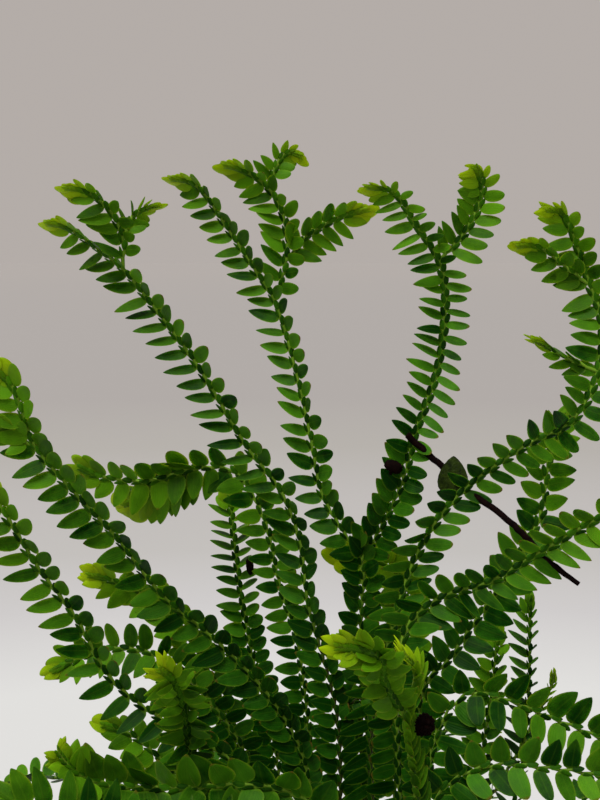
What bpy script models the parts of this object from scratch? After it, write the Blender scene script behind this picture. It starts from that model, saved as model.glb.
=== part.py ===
"""Potted spikemoss: arching leafy stems that fork near their tips, rooted in soil in a plain clay pot.

The scene is in metres with +Z up. Sizes and routes below are in millimetres and are turned into metres by MM.
The origin is the centre of the pot's underside. +X is to the right and -Y is towards the viewer.
"""

import math
from bisect import bisect_right

import bmesh
import bpy
from mathutils import Vector

MM = 0.001

# Pot
POT_HEIGHT = 70.0
POT_TOP_RADIUS = 45.0
POT_BASE_RADIUS = 31.0
POT_WALL = 4.5
POT_FLOOR = 6.0
POT_EDGE = 1.0
POT_SLOPE = (POT_TOP_RADIUS - POT_BASE_RADIUS) / POT_HEIGHT
RIM_HEIGHT = 15.0
RIM_STEP = 2.5
POT_SIDES = 40
SHARP_ANGLE = math.radians(30.0)
DRAIN_HOLES = 3
DRAIN_RADIUS = 4.0
DRAIN_CIRCLE = 17.0
DRAIN_TURN = math.radians(30.0)
DRAIN_SIDES = 10
CUT_PAST = 2.0

# Soil
SOIL_TOP = 66.0
SOIL_LUMP = 0.9
SOIL_WAVES = [(0.31, 0.17, 0.0), (-0.12, 0.23, 1.3), (0.41, -0.29, 2.1)]
SOIL_RINGS = 5
SOIL_SIDES = 24
CLEARANCE = 0.3

# Holes for the stems' feet: each follows its stem's line from the foot up to HOLE_AIM
HOLE_SIDES = 6
HOLE_CLEARANCE = 0.55
HOLE_DEPTH = 6.0
HOLE_AIM = 8.0

# Stem rib: a slim three-sided bar with its ridge on the upper side of the frond
RIB_HALF_WIDTH = 0.55
RIB_RIDGE = 0.5
RIB_BELLY = 0.35
BARE_STEP = 6.0
CURVE_STEPS = 12
DIRECTION_REACH = 1.5
BEND_REACH = 2.0

# Leaflets: two rows that rise from the rib like an open book. Each slants forwards, is widest at LEAF_WIDEST
# of its length, and twists by LEAF_LOUVRE so that its near edge lies above its neighbour's far edge.
LEAF_PITCH = 3.5
LEAF_LENGTH = 4.1
LEAF_THICKNESS = 0.62
LEAF_LIFT = math.radians(30.0)
LEAF_ANGLE = math.radians(72.0)
LEAF_TIP_ANGLE = math.radians(42.0)
LEAF_WIDEST = 0.46
LEAF_GAP = 0.38
LEAF_LOUVRE = 0.18

# Smaller leaflets near a tip, near a stem's first leaflet, and on the inside of a bend
YOUNG_REACH = 8.0
YOUNG_SCALE = 0.62
FIRST_REACH = 10.0
FIRST_SCALE = 0.6
BEND_SHARE = 0.6
FORK_BARE = 2.5
END_POINT = 2.2

# Directions that the upper side of a frond turns to
FRONT = (0.0, -1.0, 0.0)
FRONT_LEFT = (-0.5, -0.87, 0.0)
FRONT_UP = (0.0, -0.8, 0.6)
RIGHT = (1.0, -0.2, 0.0)
UP = (0.0, 0.0, 1.0)

# Each stem: its bare length above the foot, then its runs. A run gives the way the frond's upper side faces
# at its start and at its tip, and points along the stem. A later run starts where it forks from an earlier one.
STEMS = [
    (18, [
        (FRONT_LEFT, FRONT_LEFT, [
            (1, -1, 60), (0.5, -2, 80), (0, -2, 102), (-4, -2, 118), (-5, -2, 126), (-7.5, -3, 133),
            (-12, -3, 139), (-18.5, -4, 150), (-25.5, -4, 159.5), (-28, -4, 162.5), (-31, -4, 165),
            (-35.5, -4, 168), (-39, -4, 168.5)]),
        (FRONT_LEFT, FRONT_LEFT, [
            (-28, -4, 162.5), (-28, -4, 166.5), (-29.5, -5, 170), (-32.5, -5, 172.5), (-36.5, -5, 173)]),
        (FRONT_LEFT, FRONT_LEFT, [
            (-28, -4, 166.5), (-27, -3.5, 169), (-25, -3, 170.5), (-22, -3, 171)]),
        (FRONT_LEFT, FRONT_LEFT, [(0, -2, 102), (2, -2.5, 104), (4.5, -3, 105.5), (7.5, -3, 106.5)]),
    ]),
    (20, [
        (FRONT_LEFT, FRONT_LEFT, [
            (5, 5, 60), (4, 4, 82), (3.5, 4, 113), (3.5, 4, 122), (0.5, 4, 127), (-2, 5, 131.5),
            (-3.5, 5, 139), (-5.5, 6, 148), (-8.5, 7, 158), (-11, 7, 162), (-15, 8, 168),
            (-19.5, 8, 174), (-24, 8, 175)]),
        (FRONT_LEFT, FRONT_LEFT, [
            (-8.5, 7, 158), (-7, 7, 163.5), (-7, 7, 168.5), (-9, 7, 173), (-12, 7, 175.5), (-16.5, 7, 177)]),
        (FRONT_LEFT, FRONT_LEFT, [(-9, 7, 173), (-8.5, 7.5, 176), (-6.5, 8, 178.5), (-3.5, 8, 179.5)]),
        (FRONT_LEFT, FRONT_UP, [(-7, 7, 163.5), (-4.5, 7, 166.5), (0.5, 7, 169.5), (5.5, 7, 171)]),
        (FRONT, FRONT, [
            (3.5, 4, 122), (6.5, 2, 128), (9, 1, 134), (10.5, 1, 140), (13.5, 1, 149), (14.5, 1, 158.5),
            (13.5, 0, 163.5), (10.5, 0, 168), (7.5, 0, 172.5), (2.5, 0, 173.5)]),
        (FRONT, FRONT, [(13.5, 0, 163.5), (17, 0, 167.5), (19, 0, 172), (18.5, -1, 175), (17, -3, 176.5)]),
    ]),
    (20, [
        (FRONT_LEFT, FRONT, [
            (7, -8, 60), (5, -8, 85), (4.5, -8, 103.5), (7.5, -7, 116.5), (9.5, -6, 123), (12.5, -6, 129),
            (16.5, -5, 133.5), (25, -4, 139.5), (31, -3, 142.5), (34.5, -2, 149), (35, -1, 156),
            (33.5, 0, 160.5), (31.5, 0, 166), (29.5, 0, 170), (26.5, 0, 170)]),
        (FRONT, FRONT_UP, [(33.5, 0, 160.5), (30, 0, 163), (26.5, 0, 165.5), (22.5, 0, 165.5)]),
        (FRONT, FRONT_UP, [(34.5, -2, 149), (30, -2, 151), (26.5, -2, 153), (24.5, -2, 153)]),
    ]),
    (25, [
        (FRONT_LEFT, FRONT, [
            (11, -13, 60), (8.5, -13, 85), (7.5, -13, 112), (9, -13, 118), (13.5, -13, 121.5),
            (18.5, -13, 123), (24.5, -13, 126.5), (32.5, -14, 131.5), (38.5, -15, 134)]),
    ]),
    (25, [
        (FRONT, FRONT_LEFT, [
            (11, 9, 60), (11, 9, 85), (13, 8, 103.5), (16, 8, 106.5), (19, 9, 110.5), (26, 10, 121),
            (29.5, 11, 127), (30.5, 12, 133.5), (31.5, 12, 138), (34, 12, 142.5)]),
    ]),
    (22, [
        (FRONT, FRONT, [
            (15, -17, 60), (12, -17, 80), (11, -17, 98), (12.5, -17, 106), (16, -17, 110),
            (20.5, -18, 109.5), (25.5, -18, 107.5), (32, -19, 105), (38.5, -20, 101.5)]),
    ]),
    (20, [
        (FRONT, FRONT, [
            (12, -23, 60), (9.5, -23, 82), (10.5, -23, 97), (14, -23, 101.5), (19, -24, 103.5),
            (24, -25, 103.5), (30, -26, 103), (35.5, -27, 101.5)]),
    ]),
    (20, [
        (FRONT, RIGHT, [
            (9, -28, 60), (8.5, -29, 82), (8.5, -30, 101.5), (7.5, -31, 108), (7, -32, 112),
            (8, -33, 117.5), (6.5, -34, 120), (6, -34, 122)]),
        (FRONT, FRONT, [(7, -32, 112), (4.5, -35, 117), (3.5, -38, 121), (-2.5, -42, 123.5)]),
    ]),
    (20, [
        (FRONT, FRONT, [
            (-12, -18, 60), (-14, -19, 80), (-15.5, -20, 97.5), (-18, -24, 105), (-18.5, -29, 112.5),
            (-19.5, -33, 117), (-21.5, -36, 119.5)]),
    ]),
    (20, [
        (FRONT_LEFT, FRONT_LEFT, [
            (-3, -7, 60), (-3.5, -5, 80), (-4.5, -5, 97), (-9.5, -6, 106.5), (-16, -6, 113.5),
            (-23.5, -7, 120.5), (-28.5, -8, 127.5), (-34.5, -9, 134.5), (-39, -9, 140), (-40.5, -10, 145),
            (-42, -10, 148.5), (-45.5, -10, 150.5)]),
        (FRONT_LEFT, FRONT_LEFT, [(-39, -9, 140), (-42.5, -9, 142), (-47, -9, 143)]),
    ]),
    (20, [
        (FRONT_LEFT, FRONT_LEFT, [
            (-6, -14, 60), (-6.5, -12.5, 82), (-9, -12, 95), (-14.5, -12, 100), (-24.5, -14, 107),
            (-29, -15, 111.5), (-33, -17, 120), (-37, -19, 126.5), (-39.5, -21, 132), (-43.5, -22, 139)]),
    ]),
    (25, [
        (FRONT_LEFT, FRONT_UP, [
            (-2, 9, 60), (-3, 10, 80), (-4, 10, 98), (-5.5, 11, 109), (-8, 12, 117), (-10.5, 13, 127),
            (-14.5, 14, 133), (-19.5, 15, 133.5), (-27.5, 15, 131.5), (-34, 16, 132), (-38.5, 16, 134)]),
        (FRONT, FRONT, [
            (-19.5, 15, 133.5), (-22, 16.5, 132), (-25, 18.5, 130), (-29, 20.5, 128), (-32.5, 22, 126.5)]),
    ]),
    (20, [
        (FRONT, FRONT, [
            (-6, 18, 60), (-7.5, 19, 78), (-9, 20, 90.5), (-12.5, 21, 104.5), (-14.5, 23, 116),
            (-16, 25, 130)]),
    ]),
    (20, [
        (FRONT, FRONT_UP, [
            (8, 16, 60), (9, 16, 80), (10.5, 15, 105), (10.5, 15, 114), (9, 14, 118.5), (5.5, 14, 120),
            (-1, 14, 121.5)]),
    ]),
    (20, [
        (FRONT, FRONT_UP, [
            (-10, 13, 60), (-12, 14, 80), (-15, 14, 95), (-21, 12, 108.5), (-27, 12, 115),
            (-32.5, 12, 117.5), (-37, 12, 118.5)]),
    ]),
    (20, [
        (FRONT, FRONT_UP, [
            (-9, 6, 60), (-10, 8, 80), (-13, 8, 93), (-19.5, 8, 102.5), (-24.5, 8, 107),
            (-30.5, 8, 108.5), (-35.5, 8, 107.5), (-41.5, 8, 104.5)]),
    ]),
    (18, [
        (FRONT, FRONT_UP, [
            (-9, 0, 60), (-10, 0, 76), (-13.5, 0, 87), (-23, 0, 94), (-28, 0, 98.5), (-33.5, 0, 100.5)]),
    ]),
    (25, [
        (FRONT, FRONT, [
            (1, -24, 60), (0.5, -26, 82), (-2, -27, 98), (-7, -27, 101.5), (-13, -28, 102.5),
            (-20, -29, 102.5), (-28, -31, 104), (-31, -32, 106), (-33.5, -33, 110)]),
    ]),
    (20, [
        (FRONT, FRONT, [
            (-8, -28, 60), (-12, -32, 82), (-16, -34, 94), (-22, -35, 98.5), (-28.5, -36, 101.5),
            (-34, -37, 103.5), (-40, -38, 104.5)]),
    ]),
    (10, [
        (FRONT, FRONT, [
            (24, 24, 60), (26.5, 26.5, 70), (30, 29.5, 80), (31.5, 30, 93.5), (31.5, 30, 106.5),
            (31.5, 30, 112)]),
    ]),
    (10, [
        (FRONT, FRONT, [(17, 20, 60), (19.5, 22.5, 70), (22.5, 25.5, 80), (25, 26, 96.5), (26, 26, 107.5)]),
    ]),
    (10, [
        (FRONT, FRONT, [
            (17, 27, 60), (20.5, 30.5, 71), (27, 35, 76.5), (31.5, 36, 84), (35, 36, 91), (36.5, 36, 95),
            (36, 35, 98)]),
    ]),
]

# Arching stems round the pot's edge: the way each leans, in degrees from +X, then the radius of its foot,
# its reach, its height, and how many degrees its tip sways round
EDGE_STEMS = [
    (18, 30, 60, 88, 8), (68, 30, 60, 84, -8), (95, 30, 58, 84, 8), (122, 30, 58, 84, -8),
    (150, 30, 58, 84, 8), (180, 30, 58, 84, -6), (210, 30, 62, 90, 8), (234, 30, 64, 94, -8),
    (280, 31, 60, 94, 8), (315, 30, 62, 92, -8), (345, 30, 62, 88, 6), (0, 36, 66, 80, -6),
    (166, 36, 66, 80, 6), (262, 36, 66, 84, -8), (298, 36, 66, 84, 8), (330, 36, 66, 82, -6),
]
EDGE_BARE = 12.0

# The route of such a stem, as shares of the way from its foot out to its reach and up to its height
EDGE_ROUTE = [(0, 0), (0, 0.2), (0.07, 0.45), (0.2, 0.75), (0.45, 0.96), (0.72, 1.0), (1.0, 0.88)]
EDGE_LEAN_BACK = 0.4


def ease(share):
    """A smooth step from 0 to 1."""
    share = min(max(share, 0.0), 1.0)
    return share * share * (3 - 2 * share)


class Run:
    """A smooth curve through a stem's points, with the frond's side and upper directions along it."""

    def __init__(self, points, face, tip_face):
        points = [Vector(p) for p in points]
        ends = [2 * points[0] - points[1]] + points + [2 * points[-1] - points[-2]]
        self.points = []
        for p0, p1, p2, p3 in zip(ends, ends[1:], ends[2:], ends[3:]):
            self.points += self.stretch(p0, p1, p2, p3)
        self.points.append(points[-1])
        self.reached = [0.0]
        for a, b in zip(self.points, self.points[1:]):
            self.reached.append(self.reached[-1] + (b - a).length)
        self.length = self.reached[-1]
        self.face = Vector(face).normalized()
        self.tip_face = Vector(tip_face).normalized()

    @staticmethod
    def stretch(p0, p1, p2, p3):
        """A centripetal Catmull-Rom curve from p1 to p2, without its last point."""
        t1 = (p1 - p0).length ** 0.5
        t2 = t1 + (p2 - p1).length ** 0.5
        t3 = t2 + (p3 - p2).length ** 0.5
        found = []
        for k in range(CURVE_STEPS):
            t = t1 + (t2 - t1) * k / CURVE_STEPS
            a1 = p0.lerp(p1, t / t1)
            a2 = p1.lerp(p2, (t - t1) / (t2 - t1))
            a3 = p2.lerp(p3, (t - t2) / (t3 - t2))
            b1 = a1.lerp(a2, t / t2)
            b2 = a2.lerp(a3, (t - t1) / (t3 - t1))
            found.append(b1.lerp(b2, (t - t1) / (t2 - t1)))
        return found

    def at(self, distance):
        """The point at this distance from the foot, carried straight on past either end."""
        k = min(max(bisect_right(self.reached, distance) - 1, 0), len(self.points) - 2)
        part = (distance - self.reached[k]) / (self.reached[k + 1] - self.reached[k])
        return self.points[k].lerp(self.points[k + 1], part)

    def frame(self, distance):
        """The point there with its side, upward and forward directions."""
        forward = (self.at(distance + DIRECTION_REACH) - self.at(distance - DIRECTION_REACH)).normalized()
        face = self.face.lerp(self.tip_face, ease(distance / self.length))
        side = forward.cross(face).normalized()
        return self.at(distance), side, side.cross(forward), forward

    def bend(self, distance):
        """How sharply the stem turns to its right there, in radians per millimetre."""
        _, side, _, before = self.frame(distance - BEND_REACH)
        _, _, _, after = self.frame(distance + BEND_REACH)
        return (after - before).dot(side) / (2 * BEND_REACH)

    def place(self, distance, across, above):
        """The point at this distance along, this far to the side and this far above the middle line."""
        point, side, up, _ = self.frame(distance)
        return point + side * across + up * above


def blade_point(run, distance, side, out, above):
    """A point on a row's raised surface: out along the blade from the rib, above it by so much."""
    across = side * (out * math.cos(LEAF_LIFT) - above * math.sin(LEAF_LIFT))
    height = out * math.sin(LEAF_LIFT) + above * math.cos(LEAF_LIFT)
    return run.place(distance, across, height)


def add_face(bm, corners, flip):
    """One face, turned over where flip is true."""
    bm.faces.new(reversed(corners) if flip else corners)


def add_quad(bm, a, b, c, d, flip=False):
    """Two triangles that share the edge from a to c."""
    add_face(bm, (a, b, c), flip)
    add_face(bm, (a, c, d), flip)


def add_leaflet(bm, run, ring, following, side, start, size, angle):
    """Grows one leaflet from the rib between two rings. Side is -1 on the left and 1 on the right."""
    shift = LEAF_LENGTH * size * math.cos(angle)
    out = LEAF_LENGTH * size * math.sin(angle)
    inward = run.bend(start + LEAF_PITCH / 2) * side
    if inward > 0:
        out = min(out, BEND_SHARE / inward)
    near = start + shift * LEAF_WIDEST + LEAF_GAP
    far = start + shift * LEAF_WIDEST + LEAF_PITCH - LEAF_GAP
    half = LEAF_THICKNESS / 2
    widest = RIB_HALF_WIDTH + out * LEAF_WIDEST

    def corner(distance, above):
        return bm.verts.new(blade_point(run, distance, side, widest, above))

    upper_near = corner(near, half + LEAF_LOUVRE)
    upper_far = corner(far, half - LEAF_LOUVRE)
    lower_near = corner(near, -half + LEAF_LOUVRE)
    lower_far = corner(far, -half - LEAF_LOUVRE)
    tip = bm.verts.new(blade_point(run, start + LEAF_PITCH / 2 + shift, side, RIB_HALF_WIDTH + out, 0.0))
    ridge, belly = ring["ridge"], ring[side]
    next_ridge, next_belly = following["ridge"], following[side]
    flip = side > 0
    add_quad(bm, ridge, next_ridge, upper_far, upper_near, flip)
    add_quad(bm, belly, lower_near, lower_far, next_belly, flip)
    add_quad(bm, ridge, upper_near, lower_near, belly, flip)
    add_quad(bm, next_ridge, next_belly, lower_far, upper_far, flip)
    add_face(bm, (upper_near, upper_far, tip), flip)
    add_face(bm, (lower_near, tip, lower_far), flip)
    add_face(bm, (upper_near, tip, lower_near), flip)
    add_face(bm, (upper_far, lower_far, tip), flip)


def add_ring(bm, run, distance, skew):
    """The rib's three corners. The skew sets the two rows of leaflets half a pitch apart."""
    return {
        "distance": distance,
        "ridge": bm.verts.new(run.place(distance + skew / 2, 0.0, RIB_RIDGE)),
        -1: bm.verts.new(run.place(distance, -RIB_HALF_WIDTH, -RIB_BELLY)),
        1: bm.verts.new(run.place(distance + skew, RIB_HALF_WIDTH, -RIB_BELLY)),
    }


def leafy_run(name, run, bare, first_scale):
    """One unforked stretch of stem, bare at its foot and leafy from there to its tip."""
    bm = bmesh.new()
    leafy_length = run.length - bare - END_POINT
    pairs = max(round(leafy_length / LEAF_PITCH - 0.5), 1)
    first = run.length - END_POINT - (pairs + 0.5) * LEAF_PITCH
    bare_steps = max(round(first / BARE_STEP), 1)
    rings = [add_ring(bm, run, first * k / bare_steps, 0.0) for k in range(bare_steps)]
    rings += [add_ring(bm, run, first + LEAF_PITCH * k, LEAF_PITCH / 2) for k in range(pairs + 1)]
    for step, (ring, following) in enumerate(zip(rings, rings[1:])):
        add_quad(bm, ring[-1], following[-1], following[1], ring[1])
        for side in (-1, 1):
            if step < bare_steps:
                add_quad(bm, ring["ridge"], following["ridge"], following[side], ring[side], side > 0)
                continue
            own_start = ring["distance"] + (LEAF_PITCH / 2 if side > 0 else 0.0)
            age = ease((run.length - own_start - LEAF_PITCH) / YOUNG_REACH)
            size = YOUNG_SCALE + (1 - YOUNG_SCALE) * age
            size *= first_scale + (1 - first_scale) * ease((own_start - first) / FIRST_REACH)
            angle = LEAF_TIP_ANGLE + (LEAF_ANGLE - LEAF_TIP_ANGLE) * age
            add_leaflet(bm, run, ring, following, side, own_start, size, angle)
    foot, last = rings[0], rings[-1]
    end = bm.verts.new(run.place(run.length, 0.0, 0.0))
    add_face(bm, (foot["ridge"], foot[-1], foot[1]), False)
    add_face(bm, (last["ridge"], end, last[-1]), False)
    add_face(bm, (last["ridge"], last[1], end), False)
    add_face(bm, (last[-1], end, last[1]), False)
    return object_from(bm, name)


def object_from(bm, name):
    """A new object in the scene from a bmesh in millimetres."""
    bmesh.ops.scale(bm, vec=(MM, MM, MM), verts=bm.verts)
    mesh = bpy.data.meshes.new(name)
    bm.to_mesh(mesh)
    bm.free()
    obj = bpy.data.objects.new(name, mesh)
    bpy.context.scene.collection.objects.link(obj)
    return obj


def combine(target, others, operation, solver="EXACT"):
    """Applies one Boolean of the others to the target, and removes the others."""
    group = bpy.data.collections.new(target.name + " others")
    bpy.context.scene.collection.children.link(group)
    for other in others:
        bpy.context.scene.collection.objects.unlink(other)
        group.objects.link(other)
    modifier = target.modifiers.new("combine", "BOOLEAN")
    modifier.operation = operation
    modifier.operand_type = "COLLECTION"
    modifier.collection = group
    modifier.solver = solver
    bpy.context.view_layer.update()
    graph = bpy.context.evaluated_depsgraph_get()
    mesh = bpy.data.meshes.new_from_object(target.evaluated_get(graph))
    target.modifiers.clear()
    target.data = mesh
    mesh.name = target.name
    for other in others:
        bpy.data.objects.remove(other)
    bpy.data.collections.remove(group)


def edge_run(lean, foot, reach, height, sway):
    """A run that leans out over the rim and droops at its tip, with its upper side turned inwards."""
    start = SOIL_TOP - HOLE_DEPTH
    points = []
    for out, up in EDGE_ROUTE:
        radius = foot + (reach - foot) * out
        angle = math.radians(lean + sway * out * out)
        points.append((radius * math.cos(angle), radius * math.sin(angle), start + (height - start) * up))
    lean = math.radians(lean)
    inward = (-math.cos(lean), -math.sin(lean), EDGE_LEAN_BACK)
    return inward, UP, points


def leafy_stem(name, bare, runs):
    """One whole leafy stem with its forks joined on, and the run that its foot is on."""
    runs = [Run(points, face, tip_face) for face, tip_face, points in runs]
    trunk = leafy_run(name, runs[0], bare, FIRST_SCALE)
    forks = [leafy_run(f"{name} fork {k}", run, FORK_BARE, 1.0) for k, run in enumerate(runs[1:])]
    if forks:
        combine(trunk, forks, "UNION", "MANIFOLD")
    return trunk, runs[0]


def turned(name, profile, sides):
    """A solid turned round the Z axis from (radius, height) points, which run up its outer side."""
    bm = bmesh.new()
    rings = []
    for radius, height in profile:
        if radius == 0:
            rings.append([bm.verts.new((0, 0, height))] * sides)
            continue
        angles = [2 * math.pi * k / sides for k in range(sides)]
        rings.append([bm.verts.new((radius * math.cos(a), radius * math.sin(a), height)) for a in angles])
    for lower, upper in zip(rings, rings[1:] + rings[:1]):
        for k in range(sides):
            j = (k + 1) % sides
            corners = dict.fromkeys((lower[k], lower[j], upper[j], upper[k]))
            if len(corners) > 2:
                bm.faces.new(corners)
    return object_from(bm, name)


def inner_radius(height):
    """The radius of the pot's inner face at this height."""
    return POT_BASE_RADIUS - POT_WALL + POT_SLOPE * height


def make_pot():
    """A plain clay pot with a thick rim, tapering to its foot, with drain holes in its floor."""
    shoulder = POT_HEIGHT - RIM_HEIGHT
    under_rim = POT_BASE_RADIUS + POT_SLOPE * shoulder - RIM_STEP / 2
    lip = POT_HEIGHT - POT_EDGE
    profile = [
        (0, 0),
        (POT_BASE_RADIUS - POT_EDGE, 0),
        (POT_BASE_RADIUS, POT_EDGE),
        (under_rim, shoulder - POT_EDGE),
        (under_rim + RIM_STEP, shoulder + POT_EDGE),
        (POT_TOP_RADIUS, lip),
        (POT_TOP_RADIUS - POT_EDGE, POT_HEIGHT),
        (inner_radius(lip) + POT_EDGE, POT_HEIGHT),
        (inner_radius(lip), lip),
        (inner_radius(POT_FLOOR), POT_FLOOR),
        (0, POT_FLOOR),
    ]
    pot = turned("pot", profile, POT_SIDES)
    low, high = -CUT_PAST, POT_FLOOR + CUT_PAST
    holes = []
    for k in range(DRAIN_HOLES):
        angle = 2 * math.pi * k / DRAIN_HOLES + DRAIN_TURN
        drain = [(0, low), (DRAIN_RADIUS, low), (DRAIN_RADIUS, high), (0, high)]
        hole = turned(f"drain {k}", drain, DRAIN_SIDES)
        hole.location = (DRAIN_CIRCLE * MM * math.cos(angle), DRAIN_CIRCLE * MM * math.sin(angle), 0)
        holes.append(hole)
    combine(pot, holes, "DIFFERENCE")
    pot.data.shade_smooth()
    pot.data.set_sharp_from_angle(angle=SHARP_ANGLE)
    return pot


def soil_height(x, y):
    """The soil's gently lumpy top."""
    waves = [math.sin(along_x * x + along_y * y + phase) for along_x, along_y, phase in SOIL_WAVES]
    return SOIL_TOP + SOIL_LUMP * sum(waves) / len(waves)


def make_soil(feet):
    """Fills the pot, with a plain hole for each stem's foot."""
    bottom = POT_FLOOR + CLEARANCE
    base_radius = inner_radius(bottom) - 2 * CLEARANCE
    top_radius = inner_radius(SOIL_TOP) - 2 * CLEARANCE
    top = [(top_radius * k / SOIL_RINGS, SOIL_TOP) for k in range(SOIL_RINGS, -1, -1)]
    soil = turned("soil", [(0, bottom), (base_radius, bottom)] + top, SOIL_SIDES)
    for vertex in soil.data.vertices:
        x, y, z = vertex.co / MM
        if z > SOIL_TOP / 2:
            vertex.co.z = soil_height(x, y) * MM
    radius = RIB_HALF_WIDTH + HOLE_CLEARANCE
    holes = []
    for k, run in enumerate(feet):
        line = run.at(HOLE_AIM) - run.at(0.0)
        height = line.length + HOLE_CLEARANCE
        hole = turned(f"hole {k}", [(0, 0), (radius, 0), (radius, height), (0, height)], HOLE_SIDES)
        hole.rotation_mode = "QUATERNION"
        hole.rotation_quaternion = Vector(UP).rotation_difference(line)
        hole.location = (run.at(0.0) - line.normalized() * HOLE_CLEARANCE) * MM
        holes.append(hole)
    combine(soil, holes, "DIFFERENCE")
    return soil


def material(name, colour, roughness):
    """A plain material that isn't metallic."""
    found = bpy.data.materials.new(name)
    found.use_nodes = True
    shader = found.node_tree.nodes["Principled BSDF"]
    shader.inputs["Base Color"].default_value = (*colour, 1.0)
    shader.inputs["Roughness"].default_value = roughness
    shader.inputs["Metallic"].default_value = 0.0
    found.diffuse_color = (*colour, 1.0)
    return found


def main():
    """Builds every leafy stem, the pot, and the soil with a hole for each stem."""
    for obj in list(bpy.data.objects):
        bpy.data.objects.remove(obj)
    leaf = material("spikemoss green", (0.06, 0.22, 0.03), 0.5)
    feet = []
    edge_stems = [(EDGE_BARE, [edge_run(*values)]) for values in EDGE_STEMS]
    for k, (bare, runs) in enumerate(STEMS + edge_stems, start=1):
        stem, run = leafy_stem(f"leafy_stem_{k:02d}", bare, runs)
        stem.data.materials.clear()
        stem.data.materials.append(leaf)
        feet.append(run)
    pot = make_pot()
    pot.data.materials.append(material("clay", (0.48, 0.2, 0.11), 0.85))
    soil = make_soil(feet)
    soil.data.materials.append(material("potting soil", (0.045, 0.03, 0.02), 0.95))


main()
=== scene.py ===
"""Looks of the potted spikemoss: finely leaved stems, crumbly soil and a thrown clay pot.

Sizes and routes are in millimetres and are turned into metres by MM. +X is to the right, -Y is towards
the camera.
"""

import math
import random
from bisect import bisect_right
from dataclasses import dataclass

import bmesh
import bpy
import numpy as np
from mathutils import Euler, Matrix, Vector, noise


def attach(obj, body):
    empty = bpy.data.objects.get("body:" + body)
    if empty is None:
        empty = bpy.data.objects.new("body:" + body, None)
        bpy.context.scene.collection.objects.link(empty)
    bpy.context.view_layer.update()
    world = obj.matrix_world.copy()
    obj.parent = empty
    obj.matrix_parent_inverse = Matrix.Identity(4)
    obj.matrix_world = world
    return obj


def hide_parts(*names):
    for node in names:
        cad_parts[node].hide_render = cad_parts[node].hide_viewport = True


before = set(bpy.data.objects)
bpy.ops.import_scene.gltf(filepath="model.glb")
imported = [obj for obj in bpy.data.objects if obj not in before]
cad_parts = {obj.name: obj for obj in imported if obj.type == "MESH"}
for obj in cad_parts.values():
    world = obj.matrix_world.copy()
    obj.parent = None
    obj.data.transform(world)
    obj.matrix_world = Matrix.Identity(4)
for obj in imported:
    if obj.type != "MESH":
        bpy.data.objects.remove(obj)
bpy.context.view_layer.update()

MM = 0.001
BODY = "root"

# Camera and light
CAMERA_TARGET = Vector((-5.0, 0.0, 145.0))
CAMERA_DISTANCE = 185.0
CAMERA_ELEVATION = math.radians(6.0)
CAMERA_LENS = 62.0
CAMERA_CLIP = 5.0
KEY_POWER = 3.6
KEY_SPREAD = math.radians(40.0)
KEY_FROM = Vector((-0.3, -0.4, 1.0))
SURROUND = (0.455, 0.416, 0.392)

# Floor with painted light: near white round the pot as if in a pool of light, then greyer with the distance
# in metres
FLOOR_RADIUS = 30.0
FLOOR_SIDES = 96
FLOOR_DROP = 0.5
FLOOR_NEAR = 0.3
FLOOR_FAR = 1.5
PAINTED_FLOOR_LIGHT = [
    (0.34, (0.511, 0.519, 0.514)), (0.46, (0.423, 0.419, 0.423)), (0.58, (0.371, 0.365, 0.356)),
    (0.75, (0.355, 0.345, 0.338)), (1.0, (0.316, 0.305, 0.288)), (1.4, (0.295, 0.28, 0.271)),
]
HORIZON_REACH = (2.0, 12.0)
HORIZON_TONE = (0.306, 0.287, 0.2745)

# Pot, as in the solids, with its corners rounded and its clay a little uneven
POT_HEIGHT = 70.0
POT_TOP_RADIUS = 45.0
POT_BASE_RADIUS = 31.0
POT_WALL = 4.5
POT_FLOOR = 6.0
POT_SLOPE = (POT_TOP_RADIUS - POT_BASE_RADIUS) / POT_HEIGHT
RIM_HEIGHT = 15.0
RIM_STEP = 2.5
DRAIN_HOLES = 3
DRAIN_RADIUS = 4.0
DRAIN_CIRCLE = 17.0
DRAIN_TURN = math.radians(30.0)
DRAIN_SIDES = 48
POT_SIDES = 128
WALL_SPACING = 1.5
FOOT_ROUNDING = 1.6
UNDER_RIM_ROUNDING = 0.8
RIM_ROUNDINGS = (1.2, 2.2, 1.8)  # its lower edge, then its lip outside and inside
FLOOR_ROUNDING = 2.0
CORNER_STEPS = 6
CLAY_UNEVEN = 0.35
CLAY_WAVES = (0.05, 0.35)  # to the millimetre, across and upwards

# Soil, as in the solids, with clods and crumbs on its top
SOIL_TOP = 66.0
SOIL_LUMP = 0.9
SOIL_WAVES = [(0.31, 0.17, 0.0), (-0.12, 0.23, 1.3), (0.41, -0.29, 2.1)]
CLEARANCE = 0.3
HOLE_DEPTH = 6.0
SOIL_RINGS = 70
SOIL_SIDES = 150
CLOD_HEIGHT = 0.8
CLOD_WAVES = 0.35
CRUMB_HEIGHT = 0.45
CRUMB_WAVES = 1.3
SOIL_SEED = 7

# Bits on the soil: how many, their least and greatest size, their proportions, and which of its materials
SOIL_BITS = [
    (700, (0.35, 0.95), (1.0, 0.85, 0.7), 0),
    (110, (0.7, 1.7), (1.3, 0.7, 0.35), 1),
    (60, (0.5, 1.0), (1.0, 0.9, 0.8), 2),
]
BIT_RISE = 0.3
BIT_ROUGHNESS = 0.16
LUMP_TIP = 0.2

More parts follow.
